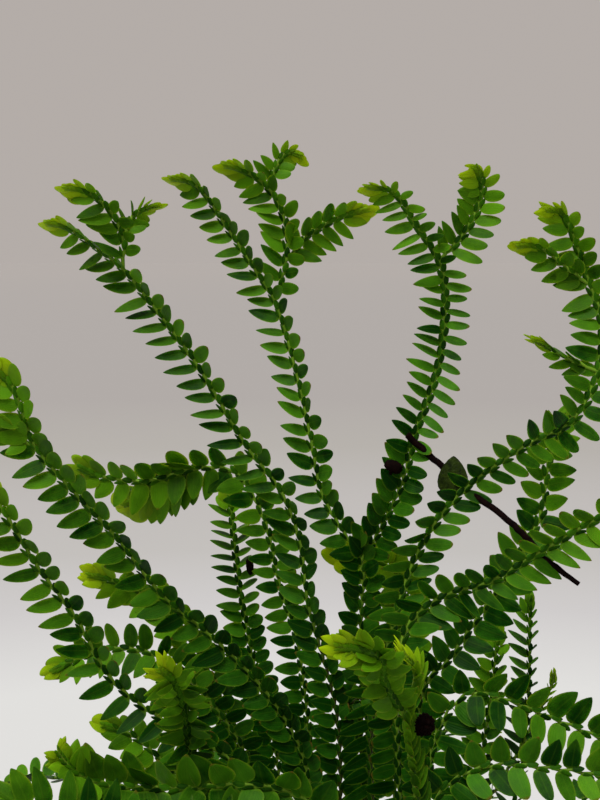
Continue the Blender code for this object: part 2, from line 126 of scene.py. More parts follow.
# Litter caught among the leaves: a twig through these points, a dead leaf's base, direction and upper side,
# and dark crumbs, each with its centre, its radii and how many smaller bits stick to it
LITTER_SEED = 11
TWIG = [
    (9.4, -0.4, 140.3), (10.6, -0.2, 139.2), (13.8, -1.9, 136.4), (17.0, -3.9, 133.5), (18.0, -5.0, 132.8),
    (21.0, -7.8, 131.0), (24.4, -11.2, 127.9), (25.6, -12.5, 126.5), (26.8, -12.9, 125.5),
    (30.0, -14.5, 123.3),
]
TWIG_RADII = (0.46, 0.42, 0.3)
TWIG_STEP = 0.7
TWIG_CROOKED = 0.05
DEAD_LEAF = ((15.4, -3.2, 132.6), (0.05, 0.0, 1.0), (0.1, -1.0, 0.1))
DEAD_LENGTH = 5.2
DEAD_HALF_WIDTH = 2.1
DEAD_CURVES = {"lop": 0.1, "hook": 0.03, "fold": 0.12, "droop": 0.12}
CRUMBS = [
    ("litter_seed", (7.6, -0.5, 136.0), (1.3, 0.75, 0.88), 3),
    ("litter_husk", (-12.6, 21.0, 117.5), (0.6, 0.5, 1.55), 4),
    ("litter_clump", (9.2, -30.6, 110.7), (1.15, 0.95, 1.2), 90),
]
CRUMB_ROUGHNESS = 0.05
STUCK_SIZES = (0.1, 0.32)
STUCK_ROUGHNESS = 0.1

# How sharp an edge has to be to stay sharp
LEAF_CREASE = math.radians(70.0)
SOIL_CREASE = math.radians(60.0)
POT_CREASE = math.radians(50.0)

# Stem curve
CURVE_STEPS = 12
DIRECTION_REACH = 1.5
BEND_REACH = 2.0

# Stem: it runs in a slight zigzag, towards each leaf in turn
STEM_RADII = (0.44, 0.28, 0.17)  # at the foot, along the stem, and at the tip
FORK_RADII = (0.26, 0.26, 0.17)
FOOT_SHARE = 0.4  # of the length, over which the foot narrows
TAPER_REACH = 5.0
STEM_SIDES = 8
STEM_ZIGZAG = 0.13
GREEN_HEIGHT = 20.0  # above the soil, where a stem has turned from brown to green

# Lateral leaves: two rows that rise from the stem like an open book. A shape is how pointed the leaf's base
# and its tip are: the lower the number, the blunter.
LEAF_LENGTH = 4.15
LEAF_HALF_WIDTH = 1.12
LEAF_SHAPE = (0.4, 0.76)
BLUNT_SHAPE = (0.42, 0.5)
MEDIAN_SHAPE = (0.44, 0.62)
LEAF_LOP = 0.12
LEAF_LIFT = math.radians(31.0)
LEAF_HALF_THICKNESS = 0.055
LEAF_ROWS = 10
LEAF_COLUMNS = 4
LEAF_SPREAD = 0.2
LATERAL_BASE = 0.2

# On the inside of a bend a leaf's length is at most this share of the bend's radius and the shortest leaf's
# length together
BEND_SHARE = 0.6
SHORTEST_LEAF = 1.0

# How lateral leaves differ: the spread of their angles in degrees and of their sizes, and the usual hook,
# fold and droop of one, as shares of its size, each with its spread
ANGLE_SPREAD = 5
TILT_SPREAD = 7
SIZE_SPREAD = 0.06
LEAF_HOOK = (0.03, 0.03)
LEAF_FOLD = (0.06, 0.06)
LEAF_DROOP = (0.05, 0.035)

# Median leaves: two rows of small ones that lie along the stem's upper side
MEDIAN_LENGTH = 1.5
MEDIAN_HALF_WIDTH = 0.43
MEDIAN_ANGLE = math.radians(11.0)
MEDIAN_SPREAD = 4
MEDIAN_RISE = math.radians(2.0)
MEDIAN_ROLL = math.radians(28.0)
MEDIAN_BASE = (0.2, 0.26)
MEDIAN_CURVES = {"fold": -0.25, "droop": 0.06}
MEDIAN_ROWS = 6
MEDIAN_COLUMNS = 4
YOUNG_MEDIAN = 0.7  # its size in the bud
MEDIAN_YOUTH = 0.7  # how young it looks beside a lateral leaf

# Young growth at a tip: the last leaves stay folded forwards in a flat bud, and those behind it open one
# by one, the outer ones of a curled bud soonest
BUD_LENGTH = 1.9
CLOSED_LEAVES = 3
OPENING_LEAVES = 8
YOUNG_PITCH = 0.55
YOUNG_SCALE = 0.62
YOUNG_LIFT = math.radians(8.0)
YOUNG_HOOK = 0.16
YOUNG_ROUND = 0.2
OUTER_OPENING = 0.35
OUTER_SCALE = 0.6
BLUNT_PLUMPNESS = 0.35

# Youth: what a leaf at the tip has of it, in three parts, and how far behind the tip each part has faded.
# The last part turns the leaf yellow.
FRESH = 0.3
FRESH_REACH = 8.0
LASTING = 0.2
OLD_REACH = 45.0
NEWEST = 0.5
YELLOW_REACH = 2.2

# Painted shade: leaves and stems are painted darker deep in the plant, where shade falls among the leaves,
# from this height down
SHADE_TOP = 132.0
SHADE_DEPTH = 42.0
DEEP_SHADE = 0.2

# Small leaves that lie close to the bare foot of a stem
SCALE_PITCH = 2.6
SCALE_SIZE = 0.42
SCALE_ANGLE = math.radians(30.0)
FIRST_REACH = 9.0
FORK_BARE = 1.2

# Materials of a leafy stem, in the order of its slots
LEAF_TOP, LEAF_UNDER, STEM, MEDIAN_TOP = range(4)

# The colour attribute that holds the four values of each point, and where nearly all of a noise lies
KEPT = "leaf"
NOISE_RANGE = (0.3, 0.7)

# Neither row of a run has blunter leaves
ALIKE = (0, 1, 1)

# The way a run's upper side faces: a share of its length, degrees left of the front, and degrees down
FRONT = ((0, 0, 0),)


@dataclass
class Habit:
    """How a run's leaves sit, with angles in degrees.

    A pair of numbers holds near the foot and near the tip. A single number holds all along.
    """

    pitch: float | tuple = 1.9  # between the leaves of one row
    size: float | tuple = (0.8, 0.95)
    breadth: float | tuple = 1.0
    left: float | tuple = 70  # the left row's angle from the stem
    right: float | tuple = 80
    left_tilt: float | tuple = (12, 25)  # how far each leaf's foot-side edge is raised
    right_tilt: float | tuple = (5, 10)
    change: tuple = (0.4, 0.9)  # shares of the length between which the first of each pair gives way
    blunt: tuple = (1, 0.88, 1.12)  # the row of blunter leaves (-1 left, 1 right), their size and breadth
    bud: float = 12  # the angle of the last leaves
    plump: float = 0.8  # how much broader the bud's leaves are
    curl: float = 0  # how far the bud turns to the left, in degrees
    yellow: float = 1.0  # how yellow the bud is
    fresh: float = 0.0  # how much paler the whole run is
    stem_shade: float = 0.3  # how much painted shade darkens the stem deep in the plant
    stout: float = 1.0  # how thick the stem is
    ruffle: float = 1.0  # how much the leaves' directions vary
    growing: int = 10  # how many leaves behind the bud are not full grown
    facing: tuple = FRONT  # the way the upper side faces, at one or more shares of the length


# The habit of each run in STEMS, by the stem's number and the run's place. The values without a name are
# pitch, size, breadth, left, right, left_tilt and right_tilt.
HABITS = {
    (1, 0): Habit(
        (1.8, 2.0), (0.88, 1.05), (1.1, 0.75), (62, 60), (62, 84), (15, 42), (5, 0), change=(0.38, 0.6),
        blunt=(1, 0.85, 1.35), curl=25, yellow=1.15, stem_shade=1.0,
        facing=((0.3, 10, 0), (0.5, 34, 0), (0.8, 34, 0), (0.93, 12, 55))),
    (1, 1): Habit(
        (1.8, 1.7), 0.98, 0.78, 64, 92, (30, 24), 0, curl=20, yellow=1.15,
        facing=((0, 24, 0), (0.3, 26, 15), (0.8, 12, 52))),
    (1, 2): Habit(
        1.4, 0.72, 0.85, 66, 66, (40, 30), plump=0.4, curl=-30, facing=((0, -5, 10), (0.6, -20, 52))),
    (1, 3): Habit(pitch=1.4, size=(0.6, 0.55), yellow=0.0, fresh=-0.2, stem_shade=1.0, facing=((0, 29.9, 0),)),
    (2, 0): Habit(
        (1.7, 2.0), (0.9, 0.97), (1.15, 0.88), 62, (60, 92), (5, 36), (0, 5), change=(0.42, 0.7),
        blunt=(1, 0.88, 1.2), curl=25, yellow=1.15, stem_shade=1.0,
        facing=((0.4, 0, 0), (0.6, 28, 0), (0.75, 40, 0), (0.85, 34, 10), (0.95, 14, 56))),
    (2, 1): Habit(
        1.9, (1.0, 1.02), 0.84, 68, 90, (28, 14), 0, curl=25, yellow=1.15,
        facing=((0, 26, 0), (0.45, 30, 10), (0.85, 14, 52))),
    (2, 2): Habit(
        pitch=1.4, size=0.75, breadth=0.95, plump=0.5, curl=-20, facing=((0, 0, 10), (1, 0, 30))),
    (2, 3): Habit(
        1.7, 0.94, 0.86, 64, (72, 66), 0, 15, blunt=(-1, 0.9, 1.25), curl=-15, yellow=1.3,
        facing=((0, 0, 22), (1, 0, 32))),
    (2, 4): Habit(
        (1.55, 1.6), (0.98, 1.0), (1.1, 0.68), (62, 76), (74, 100), (6, 34), (4, 42), change=(0.15, 0.45),
        blunt=(1, 0.85, 1.0), curl=30, yellow=1.2, fresh=-0.06,
        facing=((0.68, 8, 0), (0.76, 40, 4), (0.86, 34, 10), (0.95, 16, 55))),
    (2, 5): Habit(
        1.6, 0.9, 0.82, (70, 86), (72, 94), (15, 10), (10, 5), blunt=(1, 1.0, 1.0), bud=15, plump=0.25,
        curl=60, facing=((0, 5, 0), (0.7, 5, 0), (1, 0, 20))),
    (3, 0): Habit(
        (1.8, 1.9), (1.0, 1.06), (0.84, 0.9), (112, 86), (60, 90), (0, 22), (12, 0), change=(0.6, 0.85),
        blunt=(1, 0.88, 1.05), plump=0.3, curl=15, stem_shade=1.0,
        facing=((0.4, 15, 0), (0.55, 0, 15), (0.72, 0, 15), (0.82, 26, 0), (0.95, 22, 52))),
    (3, 1): Habit(
        1.9, 0.88, (1.05, 1.0), 60, 80, (20, 15), 0, curl=10, yellow=1.2,
        facing=((0, 20, 20), (0.6, 12, 48))),
    (3, 2): Habit(
        1.9, (0.8, 0.75), (0.8, 0.65), (42, 28), (25, 14), (45, 40), (20, 10), plump=0.2,
        facing=((0, 15, 20), (0.5, 15, 55))),
    (4, 0): Habit(
        (1.8, 1.9), (1.0, 1.08), (0.92, 0.68), (98, 110), 64, 0, (10, 15), blunt=(-1, 0.92, 1.05),
        fresh=-0.06, facing=((0.5, 10, 0), (0.7, 0, 8), (1, 0, 12))),
    (5, 0): Habit(
        (2.0, 2.4), (1.05, 1.18), (1.1, 1.0), (75, 77), 82, (0, 5), (0, 5), blunt=ALIKE, plump=0.0,
        yellow=0.0, fresh=-0.05, growing=20, facing=((0.4, 0, 0), (1, 12, 0))),
    (6, 0): Habit(
        (1.9, 2.6), (0.95, 1.02), (1.15, 1.05), (84, 74), (80, 82), 0, 0, change=(0.5, 0.7),
        blunt=(1, 1.0, 0.9), stout=0.7, facing=((0.4, 0, 0), (0.6, 0, -14))),
    (7, 0): Habit(
        (1.8, 2.6), (0.92, 1.02), (1.15, 1.05), (86, 84), 64, 0, 0, change=(0.45, 0.65),
        blunt=(1, 1.0, 0.95), stout=0.7, facing=((0.4, 0, 0), (0.6, 0, -14))),
    (8, 0): Habit(
        (1.4, 0.8), (0.8, 0.76), (0.85, 0.6), (45, 28), (45, 28), (40, 55), (40, 55), blunt=ALIKE,
        plump=0.1, fresh=0.16, facing=((0, 0, 0), (1, -78.7, 0))),
    (8, 1): Habit(
        (1.0, 0.55), 0.85, 0.95, (48, 44), (48, 44), blunt=ALIKE, bud=24, plump=0.1, yellow=0.5,
        fresh=0.12, ruffle=2.4, growing=8),
    (9, 0): Habit(
        (1.3, 0.75), (0.98, 0.9), (1.0, 0.7), (74, 52), (74, 52), (10, 25), (10, 25), change=(0.6, 0.88),
        blunt=ALIKE, bud=36, plump=0.1, ruffle=3.5, growing=8),
    (10, 0): Habit(
        (1.6, 2.0), (0.86, 1.08), (1.1, 0.88), (62, 70), (62, 78), (5, 16), 0, change=(0.36, 0.58),
        blunt=(1, 0.9, 1.25), facing=((0.4, 20, 0), (0.6, 34, 0), (1, 27, 0))),
    (10, 1): Habit(left=62, right=86, facing=((0, 20, 0), (1, 20, 20))),
    (11, 0): Habit(
        (1.9, 2.3), (0.9, 1.08), (1.1, 0.72), (70, 68), (74, 66), (5, 26), 0, change=(0.4, 0.6),
        blunt=(1, 0.74, 1.6), facing=((0.4, 10, 0), (0.7, 13, 0), (1, 12, 0))),
    (12, 0): Habit(
        (1.7, 2.5), (0.9, 1.1), (0.95, 1.1), (78, 75), (78, 76), (10, 0), (10, 0), change=(0.6, 0.75),
        bud=25, plump=0.0, yellow=0.0, fresh=0.05, facing=((0.5, 10, 0), (0.7, 0, 12), (1, 0, 18))),
    (12, 1): Habit(
        1.5, (1.15, 1.35), (1.25, 1.2), (66, 60), (70, 66), 0, 0, blunt=(1, 0.95, 1.0), bud=25,
        yellow=0.5, fresh=0.12, facing=((0, 5, 15), (1, 0, 20))),
    (13, 0): Habit(
        (1.65, 1.7), 0.9, (1.1, 0.95), (74, 68), (76, 70), (10, 55), (5, 50), change=(0.62, 0.85),
        blunt=(1, 0.95, 1.0), yellow=0.3, facing=((0, 0, 0), (1, 12, 0))),
    (14, 0): Habit(
        size=(0.95, 1.12), breadth=(1.15, 1.2), left_tilt=5, bud=30, yellow=1.4, fresh=0.3,
        facing=((0.6, 0, 0), (1, 0, 20))),
    (15, 0): Habit(
        1.9, (0.95, 1.0), 1.15, (62, 60), 80, 5, bud=36, plump=0.1, yellow=0.6, fresh=0.16, ruffle=1.8,
        facing=((0.5, 0, 0), (1, 0, 20))),
    (16, 0): Habit(
        (1.9, 2.1), (0.95, 1.02), (1.1, 0.9), 70, (90, 88), 5, 0, blunt=(1, 1.0, 0.95), plump=0.3,
        yellow=0.6, fresh=0.06, facing=((0.5, 0, 0), (0.7, 0, -14), (1, 0, -8))),
    (17, 0): Habit(
        (1.9, 2.0), (0.95, 0.97), 1.1, 70, 80, 5, plump=0.3, yellow=0.6, fresh=0.06),
    (18, 0): Habit(
        (2.0, 0.75), (1.05, 0.62), (1.3, 1.1), (76, 74), (66, 74), 0, 0, change=(0.9, 0.96), blunt=ALIKE,
        bud=62, plump=0.1, yellow=0.4, fresh=0.1, ruffle=2.5, growing=6,
        facing=((0.5, 0, 0), (0.8, 0, -16), (0.96, 0, -50))),
    (19, 0): Habit(
        (1.9, 2.3), (1.0, 1.2), (1.15, 0.8), 70, 80, 0, 0, blunt=ALIKE, plump=0.1, yellow=0.3, growing=3,
        facing=((0.5, 0, 0), (0.8, 0, -45))),
    (20, 0): Habit(
        1.9, (0.9, 0.88), 1.0, 56, 56, 66, 40, blunt=(1, 0.7, 1.0), plump=0.0, yellow=0.0,
        facing=((0, 42, 0),)),
    (21, 0): Habit(
        1.9, (1.0, 0.85), 1.0, 62, 62, 25, 25, plump=0.1, yellow=0.0, fresh=0.1,
        facing=((0, 30, 0),)),
    (22, 0): Habit(
        (1.5, 1.4), (0.48, 0.38), 1.0, (40, 30), (40, 30), 55, 55, blunt=ALIKE, plump=0.0, yellow=0.2,
        fresh=0.35),
}

# Each stem in view: its bare length above the foot, then its runs, each as points along the stem. A later
# run starts where it forks from an earlier one.
STEMS = [
    (18, [
        [(1, -1, 60), (0.5, -2, 80), (0, -2, 102), (-4, -2, 118), (-5, -2, 126), (-7.5, -3, 133),
         (-12, -3, 139), (-18.5, -4, 150), (-25.5, -4, 159.5), (-28, -4, 162.5), (-31, -4, 165),
         (-35.5, -4, 168), (-39, -4, 168.5)],
        [(-28, -4, 162.5), (-28, -4, 166.5), (-29.5, -5, 170), (-32.5, -5, 172.5), (-36.5, -5, 173)],
        [(-28, -4, 166.5), (-27, -3.5, 169), (-25, -3, 170.5), (-22, -3, 171)],
        [(0, -2, 102), (2, -2.5, 104), (4.5, -3, 105.5), (7.5, -3, 106.5)],
    ]),
    (20, [
        [(5, 5, 60), (4, 4, 82), (3.5, 4, 113), (3.5, 4, 122), (0.5, 4, 127), (-2, 5, 131.5),
         (-3.5, 5, 139), (-5.5, 6, 148), (-8.5, 7, 158), (-11, 7, 162), (-15, 8, 168), (-19.5, 8, 174),
         (-24, 8, 175)],
        [(-8.5, 7, 158), (-7, 7, 163.5), (-7, 7, 168.5), (-9, 7, 173), (-12, 7, 175.5), (-16.5, 7, 177)],
        [(-9, 7, 173), (-8.5, 7.5, 176), (-7, 8, 178.2), (-5, 8, 178), (-4, 8, 176.5)],
        [(-7, 7, 163.5), (-4.5, 7, 166.5), (0.5, 7, 169.5), (5.5, 7, 171)],
        [(3.5, 4, 122), (6.5, 2, 128), (9, 1, 134), (10.5, 1, 140), (13.5, 1, 149), (14.5, 1, 158.5),
         (13.5, 0, 163.5), (10.5, 0, 168), (7.5, 0, 172.5), (2.5, 0, 173.5)],
        [(13.5, 0, 163.5), (17, 0, 167.5), (19, 0, 172), (18.5, -1, 175), (17, -3, 176.5)],
    ]),
    (20, [
        [(7, -8, 60), (5, -8, 85), (4.5, -8, 103.5), (7.5, -7, 116.5), (9.5, -6, 123), (12.5, -6, 129),
         (16.5, -5, 133.5), (25, -4, 139.5), (31, -3, 142.5), (34.5, -2, 149), (35, -1, 156),
         (33.5, 0, 160.5), (31.5, 0, 166), (29.5, 0, 170), (26.5, 0, 170)],
        [(33.5, 0, 160.5), (30, 0, 163), (26.5, 0, 165.5), (22.5, 0, 165.5)],
        [(34.5, -2, 149), (30, -2, 151), (26.5, -2, 153), (24.5, -2, 153)],
    ]),
    (25, [
        [(11, -13, 60), (8.5, -13, 85), (7.5, -13, 112), (9, -13, 118), (13.5, -13, 121.5),
         (18.5, -13, 123), (24.5, -13, 126.5), (32.5, -14, 131.5), (38.5, -15, 134)],
    ]),
    (25, [
        [(11, 9, 60), (11, 9, 85), (13, 8, 103.5), (16, 8, 106.5), (19, 9, 110.5), (26, 10, 121),
         (29.5, 11, 127), (30.5, 12, 133.5), (31.5, 12, 138), (34, 12, 142.5)],
    ]),
    (22, [
        [(15, -17, 60), (12, -17, 80), (11, -17, 98), (12.5, -17, 106), (16, -17, 110),
         (20.5, -18, 109.5), (25.5, -18, 107.5), (32, -19, 105), (38.5, -20, 101.5)],
    ]),
    (20, [
        [(12, -23, 60), (9.5, -23, 82), (10.5, -23, 97), (14, -23, 101.5), (19, -24, 103.5),
         (24, -25, 103.5), (30, -26, 103), (35.5, -27, 101.5)],
    ]),
    (20, [
        [(9, -28, 60), (8.5, -29, 82), (8.5, -30, 101.5), (7.5, -31, 108), (7, -32, 112), (8, -33, 117.5),
         (6.5, -34, 120), (6, -34, 122)],
        [(7, -32, 112), (4.5, -35, 117), (3.5, -38, 121), (-2.5, -42, 123.5)],
    ]),
    (20, [
        [(-12, -18, 60), (-14, -19, 80), (-15.5, -20, 97.5), (-18, -24, 105), (-18.5, -29, 112.5),
         (-19.5, -33, 117), (-21.5, -36, 119.5)],
    ]),
    (20, [
        [(-3, -7, 60), (-3.5, -5, 80), (-4.5, -5, 97), (-9.5, -6, 106.5), (-16, -6, 113.5),
         (-23.5, -7, 120.5), (-28.5, -8, 127.5), (-34.5, -9, 134.5), (-39, -9, 140), (-40.5, -10, 145),
         (-42, -10, 148.5), (-45.5, -10, 150.5)],
        [(-39, -9, 140), (-42.5, -9, 142), (-47, -9, 143)],
    ]),
    (20, [
        [(-6, -14, 60), (-6.5, -12.5, 82), (-9, -12, 95), (-14.5, -12, 100), (-24.5, -14, 107),
         (-29, -15, 111.5), (-33, -17, 120), (-37, -19, 126.5), (-39.5, -21, 132), (-43.5, -22, 139)],
    ]),
    (25, [
        [(-2, 9, 60), (-3, 10, 80), (-4, 10, 98), (-5.5, 11, 109), (-8, 12, 117), (-10.5, 13, 127),
         (-14.5, 14, 133), (-19.5, 15, 133.5), (-27.5, 15, 131.5), (-34, 16, 132), (-38.5, 16, 134)],
        [(-19.5, 15, 133.5), (-22, 16.5, 132), (-25, 18.5, 130), (-29, 20.5, 128), (-32.5, 22, 126.5)],
    ]),
    (20, [
        [(-6, 18, 60), (-7.5, 19, 78), (-9, 20, 90.5), (-12.5, 21, 104.5), (-14.5, 23, 116),
         (-16, 25, 130)],
    ]),
    (20, [
        [(8, 16, 60), (9, 16, 80), (10.5, 15, 105), (10.5, 15, 114), (9, 14, 118.5), (5.5, 14, 120),
         (-1, 14, 121.5)],
    ]),
    (20, [
        [(-10, 13, 60), (-12, 14, 80), (-15, 14, 95), (-21, 12, 108.5), (-27, 12, 115),
         (-32.5, 12, 117.5), (-37, 12, 118.5)],
    ]),
    (20, [
        [(-9, 6, 60), (-10, 8, 80), (-13, 8, 93), (-19.5, 8, 102.5), (-24.5, 8, 107), (-30.5, 8, 108.5),
         (-35.5, 8, 107.5), (-41.5, 8, 104.5)],
    ]),
    (18, [
        [(-9, 0, 60), (-10, 0, 76), (-13.5, 0, 87), (-23, 0, 94), (-28, 0, 98.5), (-33.5, 0, 100.5)],
    ]),
    (25, [
        [(1, -24, 60), (0.5, -26, 82), (-2, -27, 98), (-7, -27, 101.5), (-13, -28, 102.5),
         (-20, -29, 102.5), (-28, -31, 104), (-31, -32, 106), (-33.5, -33, 110)],
    ]),
    (20, [
        [(-8, -28, 60), (-12, -32, 82), (-16, -34, 94), (-22, -35, 98.5), (-28.5, -36, 101.5),
         (-34, -37, 103.5), (-40, -38, 104.5)],
    ]),
    (10, [
        [(24, 24, 60), (26.5, 26.5, 70), (30, 29.5, 80), (31.5, 30, 93.5), (31.5, 30, 106.5),
         (31.5, 30, 112)],
    ]),
    (10, [
        [(17, 20, 60), (19.5, 22.5, 70), (22.5, 25.5, 80), (25, 26, 96.5), (26, 26, 107.5)],
    ]),
    (10, [
        [(17, 27, 60), (20.5, 30.5, 71), (27, 35, 76.5), (31.5, 36, 84), (35, 36, 91), (36.5, 36, 95),
         (36, 35, 98)],
    ]),
]

# Arching stems round the pot's edge: the way each leans, in degrees from +X, then the radius of its foot,
# its reach, its height, and how many degrees its tip sways round
EDGE_STEMS = [
    (18, 30, 60, 88, 8), (68, 30, 60, 84, -8), (95, 30, 58, 84, 8), (122, 30, 58, 84, -8),
    (150, 30, 58, 84, 8), (180, 30, 58, 84, -6), (210, 30, 62, 90, 8), (234, 30, 64, 94, -8),
    (280, 31, 60, 94, 8), (315, 30, 62, 92, -8), (345, 30, 62, 88, 6), (0, 36, 66, 80, -6),
    (166, 36, 66, 80, 6), (262, 36, 66, 84, -8), (298, 36, 66, 84, 8), (330, 36, 66, 82, -6),
]
EDGE_BARE = 12.0

# The route of such a stem, as shares of the way from its foot out to its reach and up to its height, and how
# far its upper side turns up near the foot
EDGE_ROUTE = [(0, 0), (0, 0.2), (0.07, 0.45), (0.2, 0.75), (0.45, 0.96), (0.72, 1.0), (1.0, 0.88)]
EDGE_LEAN_BACK = 21.8


def ease(share):
    """A smooth step from 0 to 1."""
    share = min(max(share, 0.0), 1.0)
    return share * share * (3 - 2 * share)


def between(pair, share):
    """The value at this share of the way from the pair's first to its second, or the single number given."""
    if not isinstance(pair, tuple):
        return pair
    return pair[0] + (pair[1] - pair[0]) * share


def placed(name, data):
    """A new object in the scene that shows this mesh, light or camera."""
    obj = bpy.data.objects.new(name, data)
    bpy.context.scene.collection.objects.link(obj)
    return obj


class Run:
    """A smooth curve through a stem's points, with the frond's side and upper directions along it."""

    def __init__(self, points, facing):
        points = [Vector(p) for p in points]
        ends = [2 * points[0] - points[1]] + points + [2 * points[-1] - points[-2]]
        self.points = []
        for p0, p1, p2, p3 in zip(ends, ends[1:], ends[2:], ends[3:]):
            self.points += self.stretch(p0, p1, p2, p3)
        self.points.append(points[-1])
        self.reached = [0.0]
        for a, b in zip(self.points, self.points[1:]):
            self.reached.append(self.reached[-1] + (b - a).length)
        self.length = self.reached[-1]
        self.faces = [(share * self.length, self.direction(turn, nod)) for share, turn, nod in facing]

    @staticmethod
    def stretch(p0, p1, p2, p3):
        """A centripetal Catmull-Rom curve from p1 to p2, without its last point."""
        t1 = (p1 - p0).length ** 0.5
        t2 = t1 + (p2 - p1).length ** 0.5
        t3 = t2 + (p3 - p2).length ** 0.5
        found = []
        for k in range(CURVE_STEPS):
            t = t1 + (t2 - t1) * k / CURVE_STEPS
            a1 = p0.lerp(p1, t / t1)
            a2 = p1.lerp(p2, (t - t1) / (t2 - t1))
            a3 = p2.lerp(p3, (t - t2) / (t3 - t2))
            b1 = a1.lerp(a2, t / t2)
            b2 = a2.lerp(a3, (t - t1) / (t3 - t1))
            found.append(b1.lerp(b2, (t - t1) / (t2 - t1)))
        return found

    @staticmethod
    def direction(turn, nod):
        """The direction this far left of the front and this far down, in degrees."""
        turn, nod = math.radians(turn), math.radians(nod)
        level = math.cos(nod)
        return Vector((-math.sin(turn) * level, -math.cos(turn) * level, -math.sin(nod))).normalized()

    def at(self, distance):
        """The point at this distance from the foot, carried straight on past either end."""
        k = min(max(bisect_right(self.reached, distance) - 1, 0), len(self.points) - 2)
        part = (distance - self.reached[k]) / (self.reached[k + 1] - self.reached[k])
        return self.points[k].lerp(self.points[k + 1], part)

    def frame(self, distance):
        """The point there with its side, upward and forward directions."""
        forward = (self.at(distance + DIRECTION_REACH) - self.at(distance - DIRECTION_REACH)).normalized()
        start, face = self.faces[0]
        for end, next_face in self.faces[1:]:
            face = face.lerp(next_face, ease((distance - start) / (end - start)))
            start = end
        side = forward.cross(face).normalized()
        return self.at(distance), side, side.cross(forward), forward

    def bend(self, distance):
        """How sharply the stem turns to its right there, in radians per millimetre."""
        _, side, _, before = self.frame(distance - BEND_REACH)
        _, _, _, after = self.frame(distance + BEND_REACH)
        return (after - before).dot(side) / (2 * BEND_REACH)


class Build:
    """Gathers points, faces and each point's values for one mesh."""

    def __init__(self):
        self.points = []
        self.faces = []
        self.values = []
        self.slots = []
        self.count = 0

    def add(self, points, faces, values, slots):
        self.points.append(points)
        self.values.append(values)
        self.faces += [tuple(i + self.count for i in face) for face in faces]
        self.slots += slots
        self.count += len(points)

    def finish(self, name, materials, crease):
        """The mesh as an object, with its values kept as a colour attribute."""
        mesh = bpy.data.meshes.new(name)
        mesh.from_pydata(np.concatenate(self.points) * MM, [], self.faces)
        mesh.polygons.foreach_set("material_index", self.slots)
        values = mesh.attributes.new(KEPT, "FLOAT_COLOR", "POINT")
        values.data.foreach_set("color", np.concatenate(self.values).astype(np.float32).ravel())
        mesh.shade_smooth()
        mesh.set_sharp_from_angle(angle=crease)
        for material in materials:
            mesh.materials.append(material)
        return placed(name, mesh)


class Blade:
    """The pattern of a thin closed blade: shares along, across and above at each point, and its faces."""

    def __init__(self, rows, columns, base_shape, tip_shape):
        shares = [(0.0, 0.0, 0.0)]
        upper = []
        lower = []
        for i in range(1, rows):
            along = (1 - math.cos(math.pi * i / rows)) / 2
            upper.append([])
            lower.append([])
            for j in range(columns + 1):
                across = 2 * j / columns - 1
                on_margin = j in (0, columns)
                upper[-1].append(len(shares))
                shares.append((along, across, 0.0 if on_margin else 1.0))
                if not on_margin:
                    shares.append((along, across, -1.0))
                lower[-1].append(len(shares) - 1)
        tip = len(shares)
        shares.append((1.0, 0.0, 0.0))
        top = self.skin(upper, tip)
        under = [face[::-1] for face in self.skin(lower, tip)]
        self.along, self.across, self.above = np.array(shares).T
        self.breadth = self.along ** base_shape * (1 - self.along) ** tip_shape
        self.breadth /= self.breadth.max()
        self.faces = top + under
        self.upper_count = len(top)

    @staticmethod
    def skin(rows, tip):
        """The faces over these rows of points, from the base to the tip."""
        faces = []
        for j in range(len(rows[0]) - 1):
            faces.append((0, rows[0][j], rows[0][j + 1]))
            for row, beyond in zip(rows, rows[1:]):
                faces.append((row[j], beyond[j], beyond[j + 1], row[j + 1]))
            faces.append((rows[-1][j], tip, rows[-1][j + 1]))
        return faces

    def points(self, length, half_width, lop=0.0, hook=0.0, fold=0.0, droop=0.0):
        """The blade's points with its base at the origin, its tip along X and its upper side along Z."""
        width = half_width * self.breadth
        y = self.across * width * (1 + lop * np.sign(self.across)) + hook * length * self.along ** 2
        edge = np.abs(self.across)
        z = self.above * LEAF_HALF_THICKNESS * (1 - edge ** 2) + fold * edge * width
        z -= droop * length * self.along ** 2
        return np.stack([self.along * length, y, z], axis=1)


LATERAL = Blade(LEAF_ROWS, LEAF_COLUMNS, *LEAF_SHAPE)
BLUNT = Blade(LEAF_ROWS, LEAF_COLUMNS, *BLUNT_SHAPE)
MEDIAN = Blade(MEDIAN_ROWS, MEDIAN_COLUMNS, *MEDIAN_SHAPE)


def add_blade(build, blade, base, direction, normal, points, slots, youth_and_shade=0.0, tone=0.0):
    """Puts one blade in its place. The slots are its upper side's and its underside's."""
    turn = np.array([direction, normal.cross(direction), normal])
    same = np.full((len(points), 2), (youth_and_shade, tone))
    values = np.column_stack([blade.along, np.abs(blade.across), same])
    upper = [slots[0]] * blade.upper_count
    under = [slots[1]] * (len(blade.faces) - blade.upper_count)
    build.add(np.array(base) + points @ turn, blade.faces, values, upper + under)


